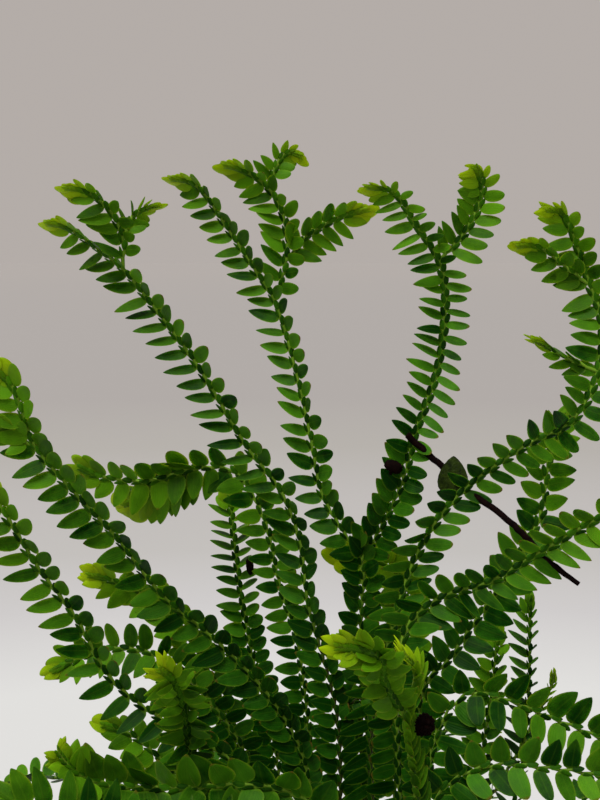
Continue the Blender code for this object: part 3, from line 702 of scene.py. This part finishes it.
def add_lateral(build, run, chance, blade, distance, hand, size, breadth, angle, tilt, opened, youth_and_shade,
                ruffle=1.0):
    """One lateral leaf. Hand is -1 in the left row, 1 in the right. Opened goes from 0 in the bud to 1."""
    point, side, up, forward = run.frame(distance)
    side = side * hand
    closed = 1 - opened
    lift = LEAF_LIFT * opened + YOUNG_LIFT * closed + math.radians(chance.gauss(0, ANGLE_SPREAD * ruffle))
    angle += math.radians(chance.gauss(0, ANGLE_SPREAD * ruffle))
    tilt = (tilt + math.radians(chance.gauss(0, TILT_SPREAD * ruffle))) * opened
    outward = side * math.cos(lift) + up * math.sin(lift)
    direction = forward * math.cos(angle) + outward * math.sin(angle)
    level = up * math.cos(lift) - side * math.sin(lift)
    across = level.cross(direction) * hand
    normal = level * math.cos(tilt) + across * math.sin(tilt)
    length = LEAF_LENGTH * size * (1 + chance.gauss(0, SIZE_SPREAD))
    inward = run.bend(distance + length * math.cos(angle) / 2) * hand
    if inward > 0:
        length = min(length, BEND_SHARE / inward + SHORTEST_LEAF)
    width = LEAF_HALF_WIDTH * size * breadth * (1 + chance.gauss(0, SIZE_SPREAD))
    hook = chance.gauss(*LEAF_HOOK) + YOUNG_HOOK * closed
    fold = chance.gauss(*LEAF_FOLD) - YOUNG_ROUND * closed
    droop = chance.gauss(*LEAF_DROOP) + YOUNG_HOOK * closed
    points = blade.points(length, width, -LEAF_LOP * hand, hand * hook, fold, droop)
    base = point + side * LATERAL_BASE
    add_blade(build, blade, base, direction, normal, points, (LEAF_TOP, LEAF_UNDER), youth_and_shade, chance.random())


def add_median(build, run, chance, distance, hand, size, youth_and_shade):
    """One median leaf, close along the stem's upper side."""
    point, side, up, forward = run.frame(distance)
    side = side * hand
    angle = MEDIAN_ANGLE + math.radians(chance.gauss(0, MEDIAN_SPREAD))
    flat = forward * math.cos(angle) + side * math.sin(angle)
    direction = flat * math.cos(MEDIAN_RISE) + up * math.sin(MEDIAN_RISE)
    normal = up * math.cos(MEDIAN_ROLL) + side * math.sin(MEDIAN_ROLL)
    normal = (normal - direction * normal.dot(direction)).normalized()
    points = MEDIAN.points(MEDIAN_LENGTH * size, MEDIAN_HALF_WIDTH * size, **MEDIAN_CURVES)
    base = point + side * MEDIAN_BASE[0] + up * MEDIAN_BASE[1]
    slots = (MEDIAN_TOP, LEAF_UNDER)
    add_blade(build, MEDIAN, base, direction, normal, points, slots, youth_and_shade, chance.random())


def depth_shade(height):
    """How much painted shade falls there: 0 in the open, rising to 1 deep in the plant."""
    return ease((SHADE_TOP - height) / SHADE_DEPTH)


def add_stem(build, run, knots, radii, stem_shade=0.0):
    """The stem's tube, with a ring at each knot: a distance, and how far the zigzag moves it to the side.

    Each point keeps how green it is and how much painted shade darkens it.
    """
    foot, body, tip = radii
    turns = np.linspace(0, 2 * np.pi, STEM_SIDES, endpoint=False)
    rings = []
    values = []
    for distance, shift in knots:
        point, side, up, _ = run.frame(distance)
        radius = between((tip, body), ease((run.length - distance) / TAPER_REACH))
        radius += between((foot - body, 0.0), ease(distance / (run.length * FOOT_SHARE)))
        centre = np.array(point + side * shift)
        ring = np.outer(np.cos(turns), side) + np.outer(np.sin(turns), up)
        rings.append(centre + ring * radius)
        green = ease((point.z - SOIL_TOP) / GREEN_HEIGHT)
        values.append(np.tile([green, stem_shade * depth_shade(point.z), 0.0, 0.0], (STEM_SIDES, 1)))
    count = len(knots)
    points = np.concatenate(rings + [[run.at(knots[0][0]), run.at(knots[-1][0])]])
    values = np.concatenate(values + [values[0][:1], values[-1][:1]])
    faces = []
    last = (count - 1) * STEM_SIDES
    for lower in range(0, last, STEM_SIDES):
        upper = lower + STEM_SIDES
        for j in range(STEM_SIDES):
            k = (j + 1) % STEM_SIDES
            faces.append((lower + j, upper + j, upper + k, lower + k))
    for j in range(STEM_SIDES):
        k = (j + 1) % STEM_SIDES
        faces.append((count * STEM_SIDES, j, k))
        faces.append((count * STEM_SIDES + 1, last + k, last + j))
    build.add(points, faces, values, [STEM] * len(faces))


def leaf_places(run, bare, habit):
    """Where the leaves of both rows sit in turn, from the bud back to the bare foot.

    With each come three shares: how far it is open, how far it has grown, and how far it has the habit of
    the run's tip.
    """
    left = BUD_LENGTH
    count = 0
    while run.length - left > bare:
        opened = ease((count - CLOSED_LEAVES) / OPENING_LEAVES)
        grown = min(max(count - CLOSED_LEAVES, 0) / habit.growing, 1.0)
        distance = run.length - left
        upper = ease((distance / run.length - habit.change[0]) / (habit.change[1] - habit.change[0]))
        yield distance, opened, grown, upper
        old = 1 + LEAF_SPREAD * ease(left / OLD_REACH)
        left += between((YOUNG_PITCH, between(habit.pitch, upper) * old), opened) / 2
        count += 1


def leaf_youth_and_shade(habit, left, height):
    """How young a leaf looks this far behind the bud, near 1 if it is new and near 0 if it is old, less the
    painted shade deep in the plant, which can take it below 0.
    """
    fresh = habit.fresh + FRESH * math.exp(-left / FRESH_REACH) + LASTING * math.exp(-left / OLD_REACH)
    newest = NEWEST * habit.yellow * math.exp(-(left / YELLOW_REACH) ** 2)
    # Painted shade lowers the value deep in the plant
    return fresh + newest - DEEP_SHADE * depth_shade(height)


def add_leaves(build, run, chance, habit, hand, place, share):
    """The lateral leaf at one place, at this share of its size, and the median leaf beside it."""
    distance, opened, grown, upper = place
    whole_size = between(habit.size, upper)
    size = whole_size * between((YOUNG_SCALE, 1.0), grown) * share
    plumpness = habit.plump * (1 - opened)
    breadth = between(habit.breadth, upper) * (1 + plumpness)
    blunt_row, blunt_size, blunt_breadth = habit.blunt
    blade = BLUNT if hand == blunt_row or plumpness > BLUNT_PLUMPNESS else LATERAL
    if hand == blunt_row:
        size *= blunt_size
        breadth *= blunt_breadth
    turned = opened
    if hand * habit.curl > 0:
        turned = opened ** OUTER_OPENING
        size *= between((OUTER_SCALE, 1.0), opened)
    row_angle = between(habit.left if hand < 0 else habit.right, upper)
    angle = math.radians(between((habit.bud - hand * habit.curl, row_angle), turned))
    tilt = math.radians(between(habit.left_tilt if hand < 0 else habit.right_tilt, upper))
    youth_and_shade = leaf_youth_and_shade(habit, run.length - distance - BUD_LENGTH, run.at(distance).z)
    add_lateral(build, run, chance, blade, distance, hand, size, breadth, angle, tilt, opened, youth_and_shade,
                habit.ruffle)
    median_size = whole_size * between((YOUNG_MEDIAN, 1.0), opened)
    add_median(build, run, chance, distance, hand, median_size, MEDIAN_YOUTH * youth_and_shade)


def add_run(build, run, bare, chance, is_fork, habit):
    """One unforked stretch of leafy stem, with small leaves down its bare foot unless it is a fork."""
    hand = 1
    knots = []
    for place in leaf_places(run, bare, habit):
        distance, opened, _, _ = place
        share = 1.0 if is_fork else between((SCALE_SIZE, 1.0), ease((distance - bare) / FIRST_REACH))
        add_leaves(build, run, chance, habit, hand, place, share)
        knots.append((distance, STEM_ZIGZAG * hand * opened))
        hand = -hand
    distance = bare - SCALE_PITCH
    while not is_fork and distance > HOLE_DEPTH + SCALE_PITCH:
        add_lateral(build, run, chance, LATERAL, distance, hand, size=SCALE_SIZE, breadth=1.0,
                    angle=SCALE_ANGLE, tilt=0.0, opened=1.0, youth_and_shade=0.0)
        knots.append((distance, 0.0))
        hand = -hand
        distance -= SCALE_PITCH / 2
    knots.append((0.0, 0.0))
    knots.reverse()
    radii = [radius * habit.stout for radius in (FORK_RADII if is_fork else STEM_RADII)]
    add_stem(build, run, knots, radii, habit.stem_shade)


def edge_stem(lean, foot, reach, height, sway):
    """The habit and route of a stem that leans out and droops at its tip, with its upper side inwards."""
    start = SOIL_TOP - HOLE_DEPTH
    points = []
    for out, up in EDGE_ROUTE:
        radius = foot + (reach - foot) * out
        angle = math.radians(lean + sway * out * out)
        points.append((radius * math.cos(angle), radius * math.sin(angle), start + (height - start) * up))
    return Habit(facing=((0, 90 - lean, -EDGE_LEAN_BACK), (1, 0, -90))), points


def leafy_stem(number, bare, runs, materials):
    """One whole leafy stem with its forks, in place of its node. Its runs are pairs of habit and points."""
    name = f"leafy_stem_{number:02d}"
    chance = random.Random(number)
    build = Build()
    for k, (habit, points) in enumerate(runs):
        is_fork = k > 0
        add_run(build, Run(points, habit.facing), FORK_BARE if is_fork else bare, chance, is_fork, habit)
    obj = build.finish(name + "_foliage", materials, LEAF_CREASE)
    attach(obj, BODY)
    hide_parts(name)


class Shader:
    """A material with short calls that add and join nodes. A value is a number, a colour or a socket."""

    def __init__(self, name):
        self.material = bpy.data.materials.new(name)
        self.material.use_nodes = True
        self.tree = self.material.node_tree
        self.surface = self.tree.nodes["Principled BSDF"]

    def node(self, kind, **settings):
        made = self.tree.nodes.new(kind)
        for key, value in settings.items():
            setattr(made, key, value)
        return made

    def put(self, socket, value):
        """Joins a socket to another, or sets its own value."""
        if isinstance(value, bpy.types.NodeSocket):
            self.tree.links.new(value, socket)
        elif isinstance(value, tuple) and len(value) == 3 and socket.type == "RGBA":
            socket.default_value = (*value, 1.0)
        else:
            socket.default_value = value

    def math(self, operation, a, b=0.0, clamp=False):
        made = self.node("ShaderNodeMath", operation=operation, use_clamp=clamp)
        self.put(made.inputs[0], a)
        self.put(made.inputs[1], b)
        return made.outputs[0]

    def mix(self, factor, a, b):
        made = self.node("ShaderNodeMix", data_type="RGBA")
        self.put(made.inputs[0], factor)
        self.put(made.inputs[6], a)
        self.put(made.inputs[7], b)
        return made.outputs[2]

    def span(self, value, low, high, to_low=0.0, to_high=1.0):
        """Carries a value from one range to another, and holds it inside."""
        made = self.node("ShaderNodeMapRange", clamp=True)
        for socket, setting in zip(made.inputs[:5], (value, low, high, to_low, to_high)):
            self.put(socket, setting)
        return made.outputs[0]

    def place(self):
        """The place in the object's own space, in metres."""
        return self.node("ShaderNodeTexCoord").outputs["Object"]

    def kept_values(self):
        """The four values that a Build keeps at each point."""
        kept = self.node("ShaderNodeAttribute", attribute_name=KEPT)
        parts = self.node("ShaderNodeSeparateColor")
        self.put(parts.inputs[0], kept.outputs["Color"])
        return (*parts.outputs, kept.outputs["Alpha"])

    def noise(self, scale, detail=3.0, roughness=0.5, stretch=(1.0, 1.0, 1.0)):
        """Noise with so many waves to the metre."""
        mapping = self.node("ShaderNodeMapping")
        self.put(mapping.inputs["Vector"], self.place())
        mapping.inputs["Scale"].default_value = stretch
        made = self.node("ShaderNodeTexNoise")
        self.put(made.inputs["Vector"], mapping.outputs[0])
        made.inputs["Scale"].default_value = scale
        made.inputs["Detail"].default_value = detail
        made.inputs["Roughness"].default_value = roughness
        return made.outputs["Fac"]

    def bump(self, height, distance, strength):
        """Raises the surface by up to this distance in millimetres."""
        made = self.node("ShaderNodeBump")
        made.inputs["Strength"].default_value = strength
        made.inputs["Distance"].default_value = distance * MM
        self.put(made.inputs["Height"], height)
        self.put(self.surface.inputs["Normal"], made.outputs[0])

    def set(self, **values):
        """Sets the surface's inputs, named with underscores for spaces."""
        for key, value in values.items():
            self.put(self.surface.inputs[key.replace("_", " ")], value)


def leaf_material(name, dark, old, light, young, margin, margin_share=0.25):
    """A leaf's green, by its youth, the painted shade deep in the plant and its own tone, with a pale
    margin, a faint midrib and fine ribs.
    """
    shader = Shader(name)
    along, across, youth_and_shade, tone = shader.kept_values()
    patches = shader.noise(420.0)
    # Lighter by the leaf's own tone, in soft patches, and with youth, and pulled towards the dark green by
    # painted shade deep in the plant
    own = shader.span(tone, 0.0, 1.0, -0.25, 0.5)
    shade = shader.math("ADD", own, shader.span(patches, *NOISE_RANGE, -0.05, 0.3))
    shade = shader.math("ADD", shade, shader.span(youth_and_shade, -0.25, 0.42, -0.45, 0.6), clamp=True)
    colour = shader.mix(shade, dark, shader.mix(shader.span(youth_and_shade, -0.1, 0.25), old, light))
    # Yellow-green in the newest leaves, most of all towards the tip
    yellow = shader.math("MULTIPLY", shader.span(youth_and_shade, 0.42, 0.9), shader.span(along, 0.0, 0.7, 0.5, 1.0))
    colour = shader.mix(yellow, colour, young)
    # Paler at the margin, along the midrib and at the base
    colour = shader.mix(shader.span(across, 0.8, 1.0, 0.0, margin_share), colour, margin)
    colour = shader.mix(shader.span(across, 0.0, 0.12, 0.07, 0.0), colour, margin)
    colour = shader.mix(shader.span(along, 0.0, 0.12, 0.6, 0.0), colour, margin)
    # Brown at the very tip of a few
    browned = shader.math("MULTIPLY", shader.span(along, 0.9, 1.0), shader.span(tone, 0.6, 0.75))
    colour = shader.mix(shader.math("MULTIPLY", browned, 0.7), colour, (0.12, 0.03, 0.008))
    ribs = shader.math("SINE", shader.math("MULTIPLY", across, 26.0))
    relief = shader.math("ADD", shader.math("MULTIPLY", ribs, 0.5), shader.noise(2600.0, 2.0))
    shader.bump(relief, 0.02, 0.5)
    shader.set(Base_Color=colour, Roughness=shader.span(patches, *NOISE_RANGE, 0.4, 0.55),
               Specular_IOR_Level=0.07, Specular_Tint=(0.7, 1.0, 0.5), Subsurface_Weight=0.2,
               Subsurface_Scale=0.0005, Subsurface_Radius=(0.6, 1.0, 0.2))
    return shader.material


def stem_material():
    """Yellow-green, browner towards the foot, and painted nearly black by painted shade deep in the plant.
    """
    shader = Shader("stem")
    green, stem_shade = shader.kept_values()[:2]
    patches = shader.noise(600.0)
    colour = shader.mix(shader.span(patches, *NOISE_RANGE), (0.09, 0.19, 0.008), (0.16, 0.3, 0.02))
    colour = shader.mix(shader.span(green, 0.0, 1.0, 0.8, 0.0), colour, (0.09, 0.07, 0.02))
    # Painted shade: nearly black deep in the plant
    colour = shader.mix(shader.span(stem_shade, 0.1, 0.6, 0.0, 0.92), colour, (0.012, 0.012, 0.004))
    shader.bump(shader.noise(3000.0), 0.02, 0.5)
    shader.set(Base_Color=colour, Roughness=0.5, Specular_IOR_Level=0.1,
               Subsurface_Weight=0.15, Subsurface_Scale=0.0005)
    return shader.material


def uneven(point):
    """How far the hand-made clay departs from its true form there: more in rings than up and down."""
    x, y, z = point
    radius = math.hypot(x, y)
    if radius < CLEARANCE:
        return Vector((0.0, 0.0, 0.0))
    wide, upright = CLAY_WAVES
    spot = Vector((x * wide, y * wide, z * upright))
    return Vector((x, y, 0.0)) * (CLAY_UNEVEN * noise.noise(spot) / radius)


def turned(name, profile, sides):
    """A mesh turned round the Z axis from closed (radius, height) points, its surface faintly uneven."""
    turns = np.linspace(0, 2 * np.pi, sides, endpoint=False)
    points = []
    starts = []
    for radius, height in profile:
        starts.append(len(points))
        ring = np.column_stack([np.cos(turns) * radius, np.sin(turns) * radius, np.full(sides, height)])
        points += [tuple(p) for p in ring] if radius else [(0.0, 0.0, height)]
    faces = []
    rings = [(start, radius) for start, (radius, _) in zip(starts, profile)]
    for (low, low_radius), (high, high_radius) in zip(rings, rings[1:] + rings[:1]):
        for k in range(sides):
            j = (k + 1) % sides
            if low_radius and high_radius:
                faces.append((low + k, low + j, high + j, high + k))
            elif low_radius:
                faces.append((low + k, low + j, high))
            elif high_radius:
                faces.append((low, high + j, high + k))
    mesh = bpy.data.meshes.new(name)
    mesh.from_pydata([(Vector(p) + uneven(p)) * MM for p in points], [], faces)
    return placed(name, mesh)


def inner_radius(height):
    """The radius of the pot's inner face at this height."""
    return POT_BASE_RADIUS - POT_WALL + POT_SLOPE * height


def rounded(corners):
    """A profile with its corners, given as (radius, height, rounding), eased into short curves."""
    points = []
    count = len(corners)
    for k, (radius, height, cut) in enumerate(corners):
        here = Vector((radius, height))
        if not cut:
            points.append((radius, height))
            continue
        before = here + (Vector(corners[k - 1][:2]) - here).normalized() * cut
        after = here + (Vector(corners[(k + 1) % count][:2]) - here).normalized() * cut
        for step in range(CORNER_STEPS + 1):
            share = step / CORNER_STEPS
            points.append(tuple(before.lerp(here, share).lerp(here.lerp(after, share), share)))
    return points


def with_walls(profile, spacing):
    """The profile with points added so that no stretch off the axis is longer than the spacing."""
    filled = []
    for a, b in zip(profile, profile[1:] + profile[:1]):
        steps = max(math.ceil(math.dist(a, b) / spacing), 1)
        if a[0] == 0 and b[0] == 0:
            steps = 1
        filled += [tuple(Vector(a).lerp(Vector(b), k / steps)) for k in range(steps)]
    return filled


def cut_holes(pot):
    """Cuts the drain holes through the pot's floor."""
    holes = []
    for k in range(DRAIN_HOLES):
        angle = 2 * math.pi * k / DRAIN_HOLES + DRAIN_TURN
        place = Vector((math.cos(angle), math.sin(angle), 0.0)) * DRAIN_CIRCLE * MM
        bpy.ops.mesh.primitive_cylinder_add(vertices=DRAIN_SIDES, radius=DRAIN_RADIUS * MM,
                                            depth=POT_FLOOR * 4 * MM, location=place)
        holes.append(bpy.context.object)
        cut = pot.modifiers.new("drain", "BOOLEAN")
        cut.object = holes[-1]
        cut.operation = "DIFFERENCE"
        cut.solver = "EXACT"
    bpy.context.view_layer.update()
    graph = bpy.context.evaluated_depsgraph_get()
    mesh = bpy.data.meshes.new_from_object(pot.evaluated_get(graph))
    pot.modifiers.clear()
    pot.data = mesh
    for hole in holes:
        bpy.data.objects.remove(hole)


def make_pot(material):
    """The clay pot with a rounded rim and foot, in place of its node."""
    shoulder = POT_HEIGHT - RIM_HEIGHT
    under_rim = POT_BASE_RADIUS + POT_SLOPE * shoulder - RIM_STEP / 2
    rim_edge, lip_outside, lip_inside = RIM_ROUNDINGS
    corners = [
        (0, 0, 0),
        (POT_BASE_RADIUS, 0, FOOT_ROUNDING),
        (under_rim, shoulder, UNDER_RIM_ROUNDING),
        (under_rim + RIM_STEP, shoulder, rim_edge),
        (POT_TOP_RADIUS, POT_HEIGHT, lip_outside),
        (inner_radius(POT_HEIGHT), POT_HEIGHT, lip_inside),
        (inner_radius(POT_FLOOR), POT_FLOOR, FLOOR_ROUNDING),
        (0, POT_FLOOR, 0),
    ]
    pot = turned("pot_clay", with_walls(rounded(corners), WALL_SPACING), POT_SIDES)
    cut_holes(pot)
    pot.data.shade_smooth()
    pot.data.set_sharp_from_angle(angle=POT_CREASE)
    pot.data.materials.clear()
    pot.data.materials.append(material)
    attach(pot, BODY)
    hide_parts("pot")


def crumbled(x, y):
    """The height of the soil's gently lumpy top there, with its clods and crumbs."""
    waves = [math.sin(along_x * x + along_y * y + phase) for along_x, along_y, phase in SOIL_WAVES]
    height = SOIL_TOP + SOIL_LUMP * sum(waves) / len(waves)
    spot = Vector((x, y, 0.0))
    clods = noise.noise(spot * CLOD_WAVES) * CLOD_HEIGHT
    crumbs = noise.noise(spot * CRUMB_WAVES) * CRUMB_HEIGHT
    return height + clods + crumbs


def lump_shape():
    """The points and faces of a plain round lump of radius 1."""
    bm = bmesh.new()
    bmesh.ops.create_icosphere(bm, subdivisions=2, radius=1.0)
    points = np.array([v.co[:] for v in bm.verts])
    faces = [tuple(v.index for v in face.verts) for face in bm.faces]
    bm.free()
    return points, faces


LUMP_POINTS, LUMP_FACES = lump_shape()


def add_lump(build, chance, centre, radii, slot, turn, roughness):
    """One irregular lump, turned about the upright and tipped a little."""
    swell = np.array([1 + roughness * chance.gauss(0, 1) for _ in LUMP_POINTS])
    tipped = Euler((chance.gauss(0, LUMP_TIP), chance.gauss(0, LUMP_TIP), turn)).to_matrix()
    points = LUMP_POINTS * swell[:, None] * np.array(radii) @ np.array(tipped).T
    values = np.tile([chance.random(), 0.0, 0.0, chance.random()], (len(points), 1))
    build.add(np.array(centre) + points, LUMP_FACES, values, [slot] * len(LUMP_FACES))


def add_soil_body(build, top_radius):
    """The soil that fills the pot, from its floor up to the crumbly top."""
    bottom = POT_FLOOR + CLEARANCE
    base_radius = inner_radius(bottom) - 2 * CLEARANCE
    rings = [(base_radius, bottom)] + [(top_radius * k / SOIL_RINGS, None) for k in range(SOIL_RINGS, 0, -1)]
    points = [(0.0, 0.0, bottom)]
    for radius, height in rings:
        for turn in np.linspace(0, 2 * np.pi, SOIL_SIDES, endpoint=False):
            x, y = radius * math.cos(turn), radius * math.sin(turn)
            points.append((x, y, crumbled(x, y) if height is None else height))
    points.append((0.0, 0.0, crumbled(0.0, 0.0)))
    faces = []
    last = 1 + (len(rings) - 1) * SOIL_SIDES
    for k in range(SOIL_SIDES):
        j = (k + 1) % SOIL_SIDES
        faces.append((0, 1 + j, 1 + k))
        for low in range(1, last, SOIL_SIDES):
            high = low + SOIL_SIDES
            faces.append((low + k, low + j, high + j, high + k))
        faces.append((last + k, last + j, len(points) - 1))
    build.add(np.array(points), faces, np.zeros((len(points), 4)), [0] * len(faces))


def make_soil(materials):
    """The soil, with crumbs, bark and perlite on its top, in place of its node."""
    top_radius = inner_radius(SOIL_TOP) - 2 * CLEARANCE
    build = Build()
    add_soil_body(build, top_radius)
    chance = random.Random(SOIL_SEED)
    for count, (low, high), shape, slot in SOIL_BITS:
        for _ in range(count):
            radius = (top_radius - high) * chance.random() ** 0.5
            turn = chance.uniform(0, 2 * math.pi)
            x, y = radius * math.cos(turn), radius * math.sin(turn)
            size = chance.uniform(low, high)
            radii = [size * part for part in shape]
            centre = (x, y, crumbled(x, y) + radii[2] * BIT_RISE)
            add_lump(build, chance, centre, radii, slot, chance.uniform(0, 2 * math.pi), BIT_ROUGHNESS)
    soil = build.finish("soil_mix", materials, SOIL_CREASE)
    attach(soil, BODY)
    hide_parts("soil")


def finish_litter(build, name, material):
    """The build as a bit of litter that lies among the leaves."""
    obj = build.finish(name, [material], SOIL_CREASE)
    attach(obj, BODY)


def make_twig(chance, material):
    """The dark fallen twig."""
    twig = Build()
    run = Run(TWIG, FRONT)
    steps = int(run.length / TWIG_STEP)
    knots = [(run.length * k / steps, chance.gauss(0, TWIG_CROOKED)) for k in range(steps + 1)]
    add_stem(twig, run, knots, TWIG_RADII)
    twig.slots = [0] * len(twig.slots)
    finish_litter(twig, "litter_twig", material)


def make_dead_leaf(material):
    """The dead leaf that hangs on the twig."""
    leaf = Build()
    base, direction, normal = (Vector(v) for v in DEAD_LEAF)
    direction.normalize()
    normal = (normal - direction * normal.dot(direction)).normalized()
    points = LATERAL.points(DEAD_LENGTH, DEAD_HALF_WIDTH, **DEAD_CURVES)
    add_blade(leaf, LATERAL, base, direction, normal, points, (0, 0))
    finish_litter(leaf, "litter_leaf", material)


def make_crumb(chance, material, name, centre, radii, bits):
    """One dark lump of litter with smaller bits stuck to it."""
    crumb = Build()
    add_lump(crumb, chance, centre, radii, 0, 0.0, CRUMB_ROUGHNESS)
    for _ in range(bits):
        away = Vector([chance.gauss(0, 1) for _ in range(3)]).normalized()
        place = Vector(centre) + away * Vector(radii)
        sizes = [chance.uniform(*STUCK_SIZES) for _ in range(3)]
        add_lump(crumb, chance, place, sizes, 0, chance.uniform(0, math.pi), STUCK_ROUGHNESS)
    finish_litter(crumb, name, material)


def make_litter(rotten, dead):
    """The bits that are caught among the stems."""
    chance = random.Random(LITTER_SEED)
    make_twig(chance, rotten)
    make_dead_leaf(dead)
    for crumb in CRUMBS:
        make_crumb(chance, rotten, *crumb)


def clay_material():
    """Fired clay: warm, faintly blotched, with pale bloom low down and near the rim, and throwing lines."""
    shader = Shader("fired clay")
    blotches = shader.noise(45.0, 5.0, 0.6)
    grain = shader.noise(900.0, 4.0, 0.7)
    colour = shader.mix(shader.span(blotches, 0.35, 0.65), (0.36, 0.13, 0.065), (0.5, 0.22, 0.12))
    colour = shader.mix(shader.span(grain, 0.45, 0.75, 0.0, 0.25), colour, (0.62, 0.36, 0.24))
    parts = shader.node("ShaderNodeSeparateXYZ")
    shader.put(parts.inputs[0], shader.place())
    height = parts.outputs["Z"]
    low = shader.span(height, 0.0, 0.022, 1.0, 0.0)
    high = shader.span(height, 0.05, 0.07, 0.0, 0.7)
    bloom = shader.math("MULTIPLY", shader.math("MAXIMUM", low, high), shader.span(blotches, 0.42, 0.7))
    colour = shader.mix(shader.math("MULTIPLY", bloom, 0.55), colour, (0.68, 0.58, 0.5))
    lines = shader.noise(140.0, 2.0, 0.5, (0.02, 0.02, 5.0))
    shader.bump(shader.math("ADD", shader.math("MULTIPLY", lines, 2.0), grain), 0.12, 0.7)
    shader.set(Base_Color=colour, Roughness=shader.span(grain, *NOISE_RANGE, 0.75, 0.92),
               Specular_IOR_Level=0.25)
    return shader.material


def ground_material(name, dark, light, scale, roughness, specular=0.2):
    """A rough natural surface between two colours."""
    shader = Shader(name)
    patches = shader.noise(scale, 6.0, 0.65)
    shader.bump(shader.noise(scale * 4, 5.0, 0.7), 0.2, 0.8)
    shader.set(Base_Color=shader.mix(shader.span(patches, *NOISE_RANGE), dark, light), Roughness=roughness,
               Specular_IOR_Level=specular)
    return shader.material


def floor_material():
    """Painted light: near white close to the pot as if lit there, and a warm grey further off."""
    shader = Shader("floor")
    away = shader.node("ShaderNodeVectorMath", operation="LENGTH")
    shader.put(away.inputs[0], shader.place())
    distance = away.outputs["Value"]
    ramp = shader.node("ShaderNodeValToRGB")
    shader.put(ramp.inputs[0], shader.span(distance, FLOOR_NEAR, FLOOR_FAR))
    stops = ramp.color_ramp.elements
    stops.remove(stops[1])
    for k, (reach, colour) in enumerate(PAINTED_FLOOR_LIGHT):
        place = (reach - FLOOR_NEAR) / (FLOOR_FAR - FLOOR_NEAR)
        stop = stops.new(place) if k else stops[0]
        stop.position = place
        stop.color = (*colour, 1.0)
    far = shader.span(distance, *HORIZON_REACH)
    shader.set(Base_Color=shader.mix(far, ramp.outputs[0], HORIZON_TONE), Roughness=0.9,
               Specular_IOR_Level=0.1)
    return shader.material


def make_stage():
    """A wide floor, with painted light round the pot."""
    bpy.ops.mesh.primitive_circle_add(vertices=FLOOR_SIDES, radius=FLOOR_RADIUS, fill_type="NGON",
                                      location=(0, 0, -FLOOR_DROP * MM))
    floor = bpy.context.object
    floor.name = "floor"
    floor.data.materials.append(floor_material())


def make_light():
    """A soft key from above the camera's left, and an even surround."""
    world = bpy.data.worlds.new("surround")
    bpy.context.scene.world = world
    world.use_nodes = True
    background = world.node_tree.nodes["Background"]
    background.inputs[0].default_value = (*SURROUND, 1.0)
    background.inputs[1].default_value = 1.0
    sun = bpy.data.lights.new("key", "SUN")
    sun.energy = KEY_POWER
    sun.angle = KEY_SPREAD
    placed("key", sun).rotation_euler = KEY_FROM.to_track_quat("Z", "Y").to_euler()


def make_camera():
    """The camera, which looks slightly down on the plant from in front."""
    camera = bpy.data.cameras.new("camera")
    camera.lens = CAMERA_LENS
    camera.clip_start = CAMERA_CLIP * MM
    obj = placed("camera", camera)
    back = Vector((0.0, -math.cos(CAMERA_ELEVATION), math.sin(CAMERA_ELEVATION)))
    obj.location = (CAMERA_TARGET + back * CAMERA_DISTANCE) * MM
    obj.rotation_euler = back.to_track_quat("Z", "Y").to_euler()
    bpy.context.scene.camera = obj


leaf_top = leaf_material(
    "leaf upper side", dark=(0.0018, 0.022, 0.0003), old=(0.031, 0.152, 0.006),
    light=(0.074, 0.205, 0.003), young=(0.34, 0.5, 0.003), margin=(0.13, 0.27, 0.01))
leaf_under = leaf_material(
    "leaf underside", dark=(0.003, 0.03, 0.0005), old=(0.032, 0.15, 0.007),
    light=(0.072, 0.195, 0.003), young=(0.32, 0.46, 0.003), margin=(0.12, 0.25, 0.01))
median_top = leaf_material(
    "median leaf", dark=(0.0018, 0.02, 0.0003), old=(0.02, 0.1, 0.003), light=(0.04, 0.14, 0.001),
    young=(0.2, 0.34, 0.002), margin=(0.12, 0.25, 0.012), margin_share=0.55)
plant = [leaf_top, leaf_under, stem_material(), median_top]
for number, (bare, routes) in enumerate(STEMS, start=1):
    leafy_stem(number, bare, [(HABITS[number, k], points) for k, points in enumerate(routes)], plant)
for number, values in enumerate(EDGE_STEMS, start=len(STEMS) + 1):
    leafy_stem(number, EDGE_BARE, [edge_stem(*values)], plant)

clay = clay_material()
crumb = ground_material("soil crumb", dark=(0.012, 0.008, 0.005), light=(0.055, 0.035, 0.022),
                        scale=900.0, roughness=0.95)
bark = ground_material("bark", dark=(0.008, 0.004, 0.003), light=(0.05, 0.028, 0.018),
                       scale=1500.0, roughness=0.85)
rotten = ground_material("rotten litter", dark=(0.0008, 0.0004, 0.0004), light=(0.008, 0.0022, 0.0018),
                         scale=1500.0, roughness=0.8, specular=0.04)
perlite = ground_material("perlite", dark=(0.45, 0.43, 0.4), light=(0.75, 0.74, 0.71),
                          scale=1200.0, roughness=0.9)
dead = ground_material("dead leaf", dark=(0.001, 0.004, 0.0005), light=(0.035, 0.06, 0.005),
                       scale=900.0, roughness=0.3, specular=0.08)
make_pot(clay)
make_soil([crumb, bark, perlite])
make_litter(rotten, dead)
make_stage()
make_light()
make_camera()
bpy.context.scene.view_settings.view_transform = "Standard"
bpy.context.view_layer.update()
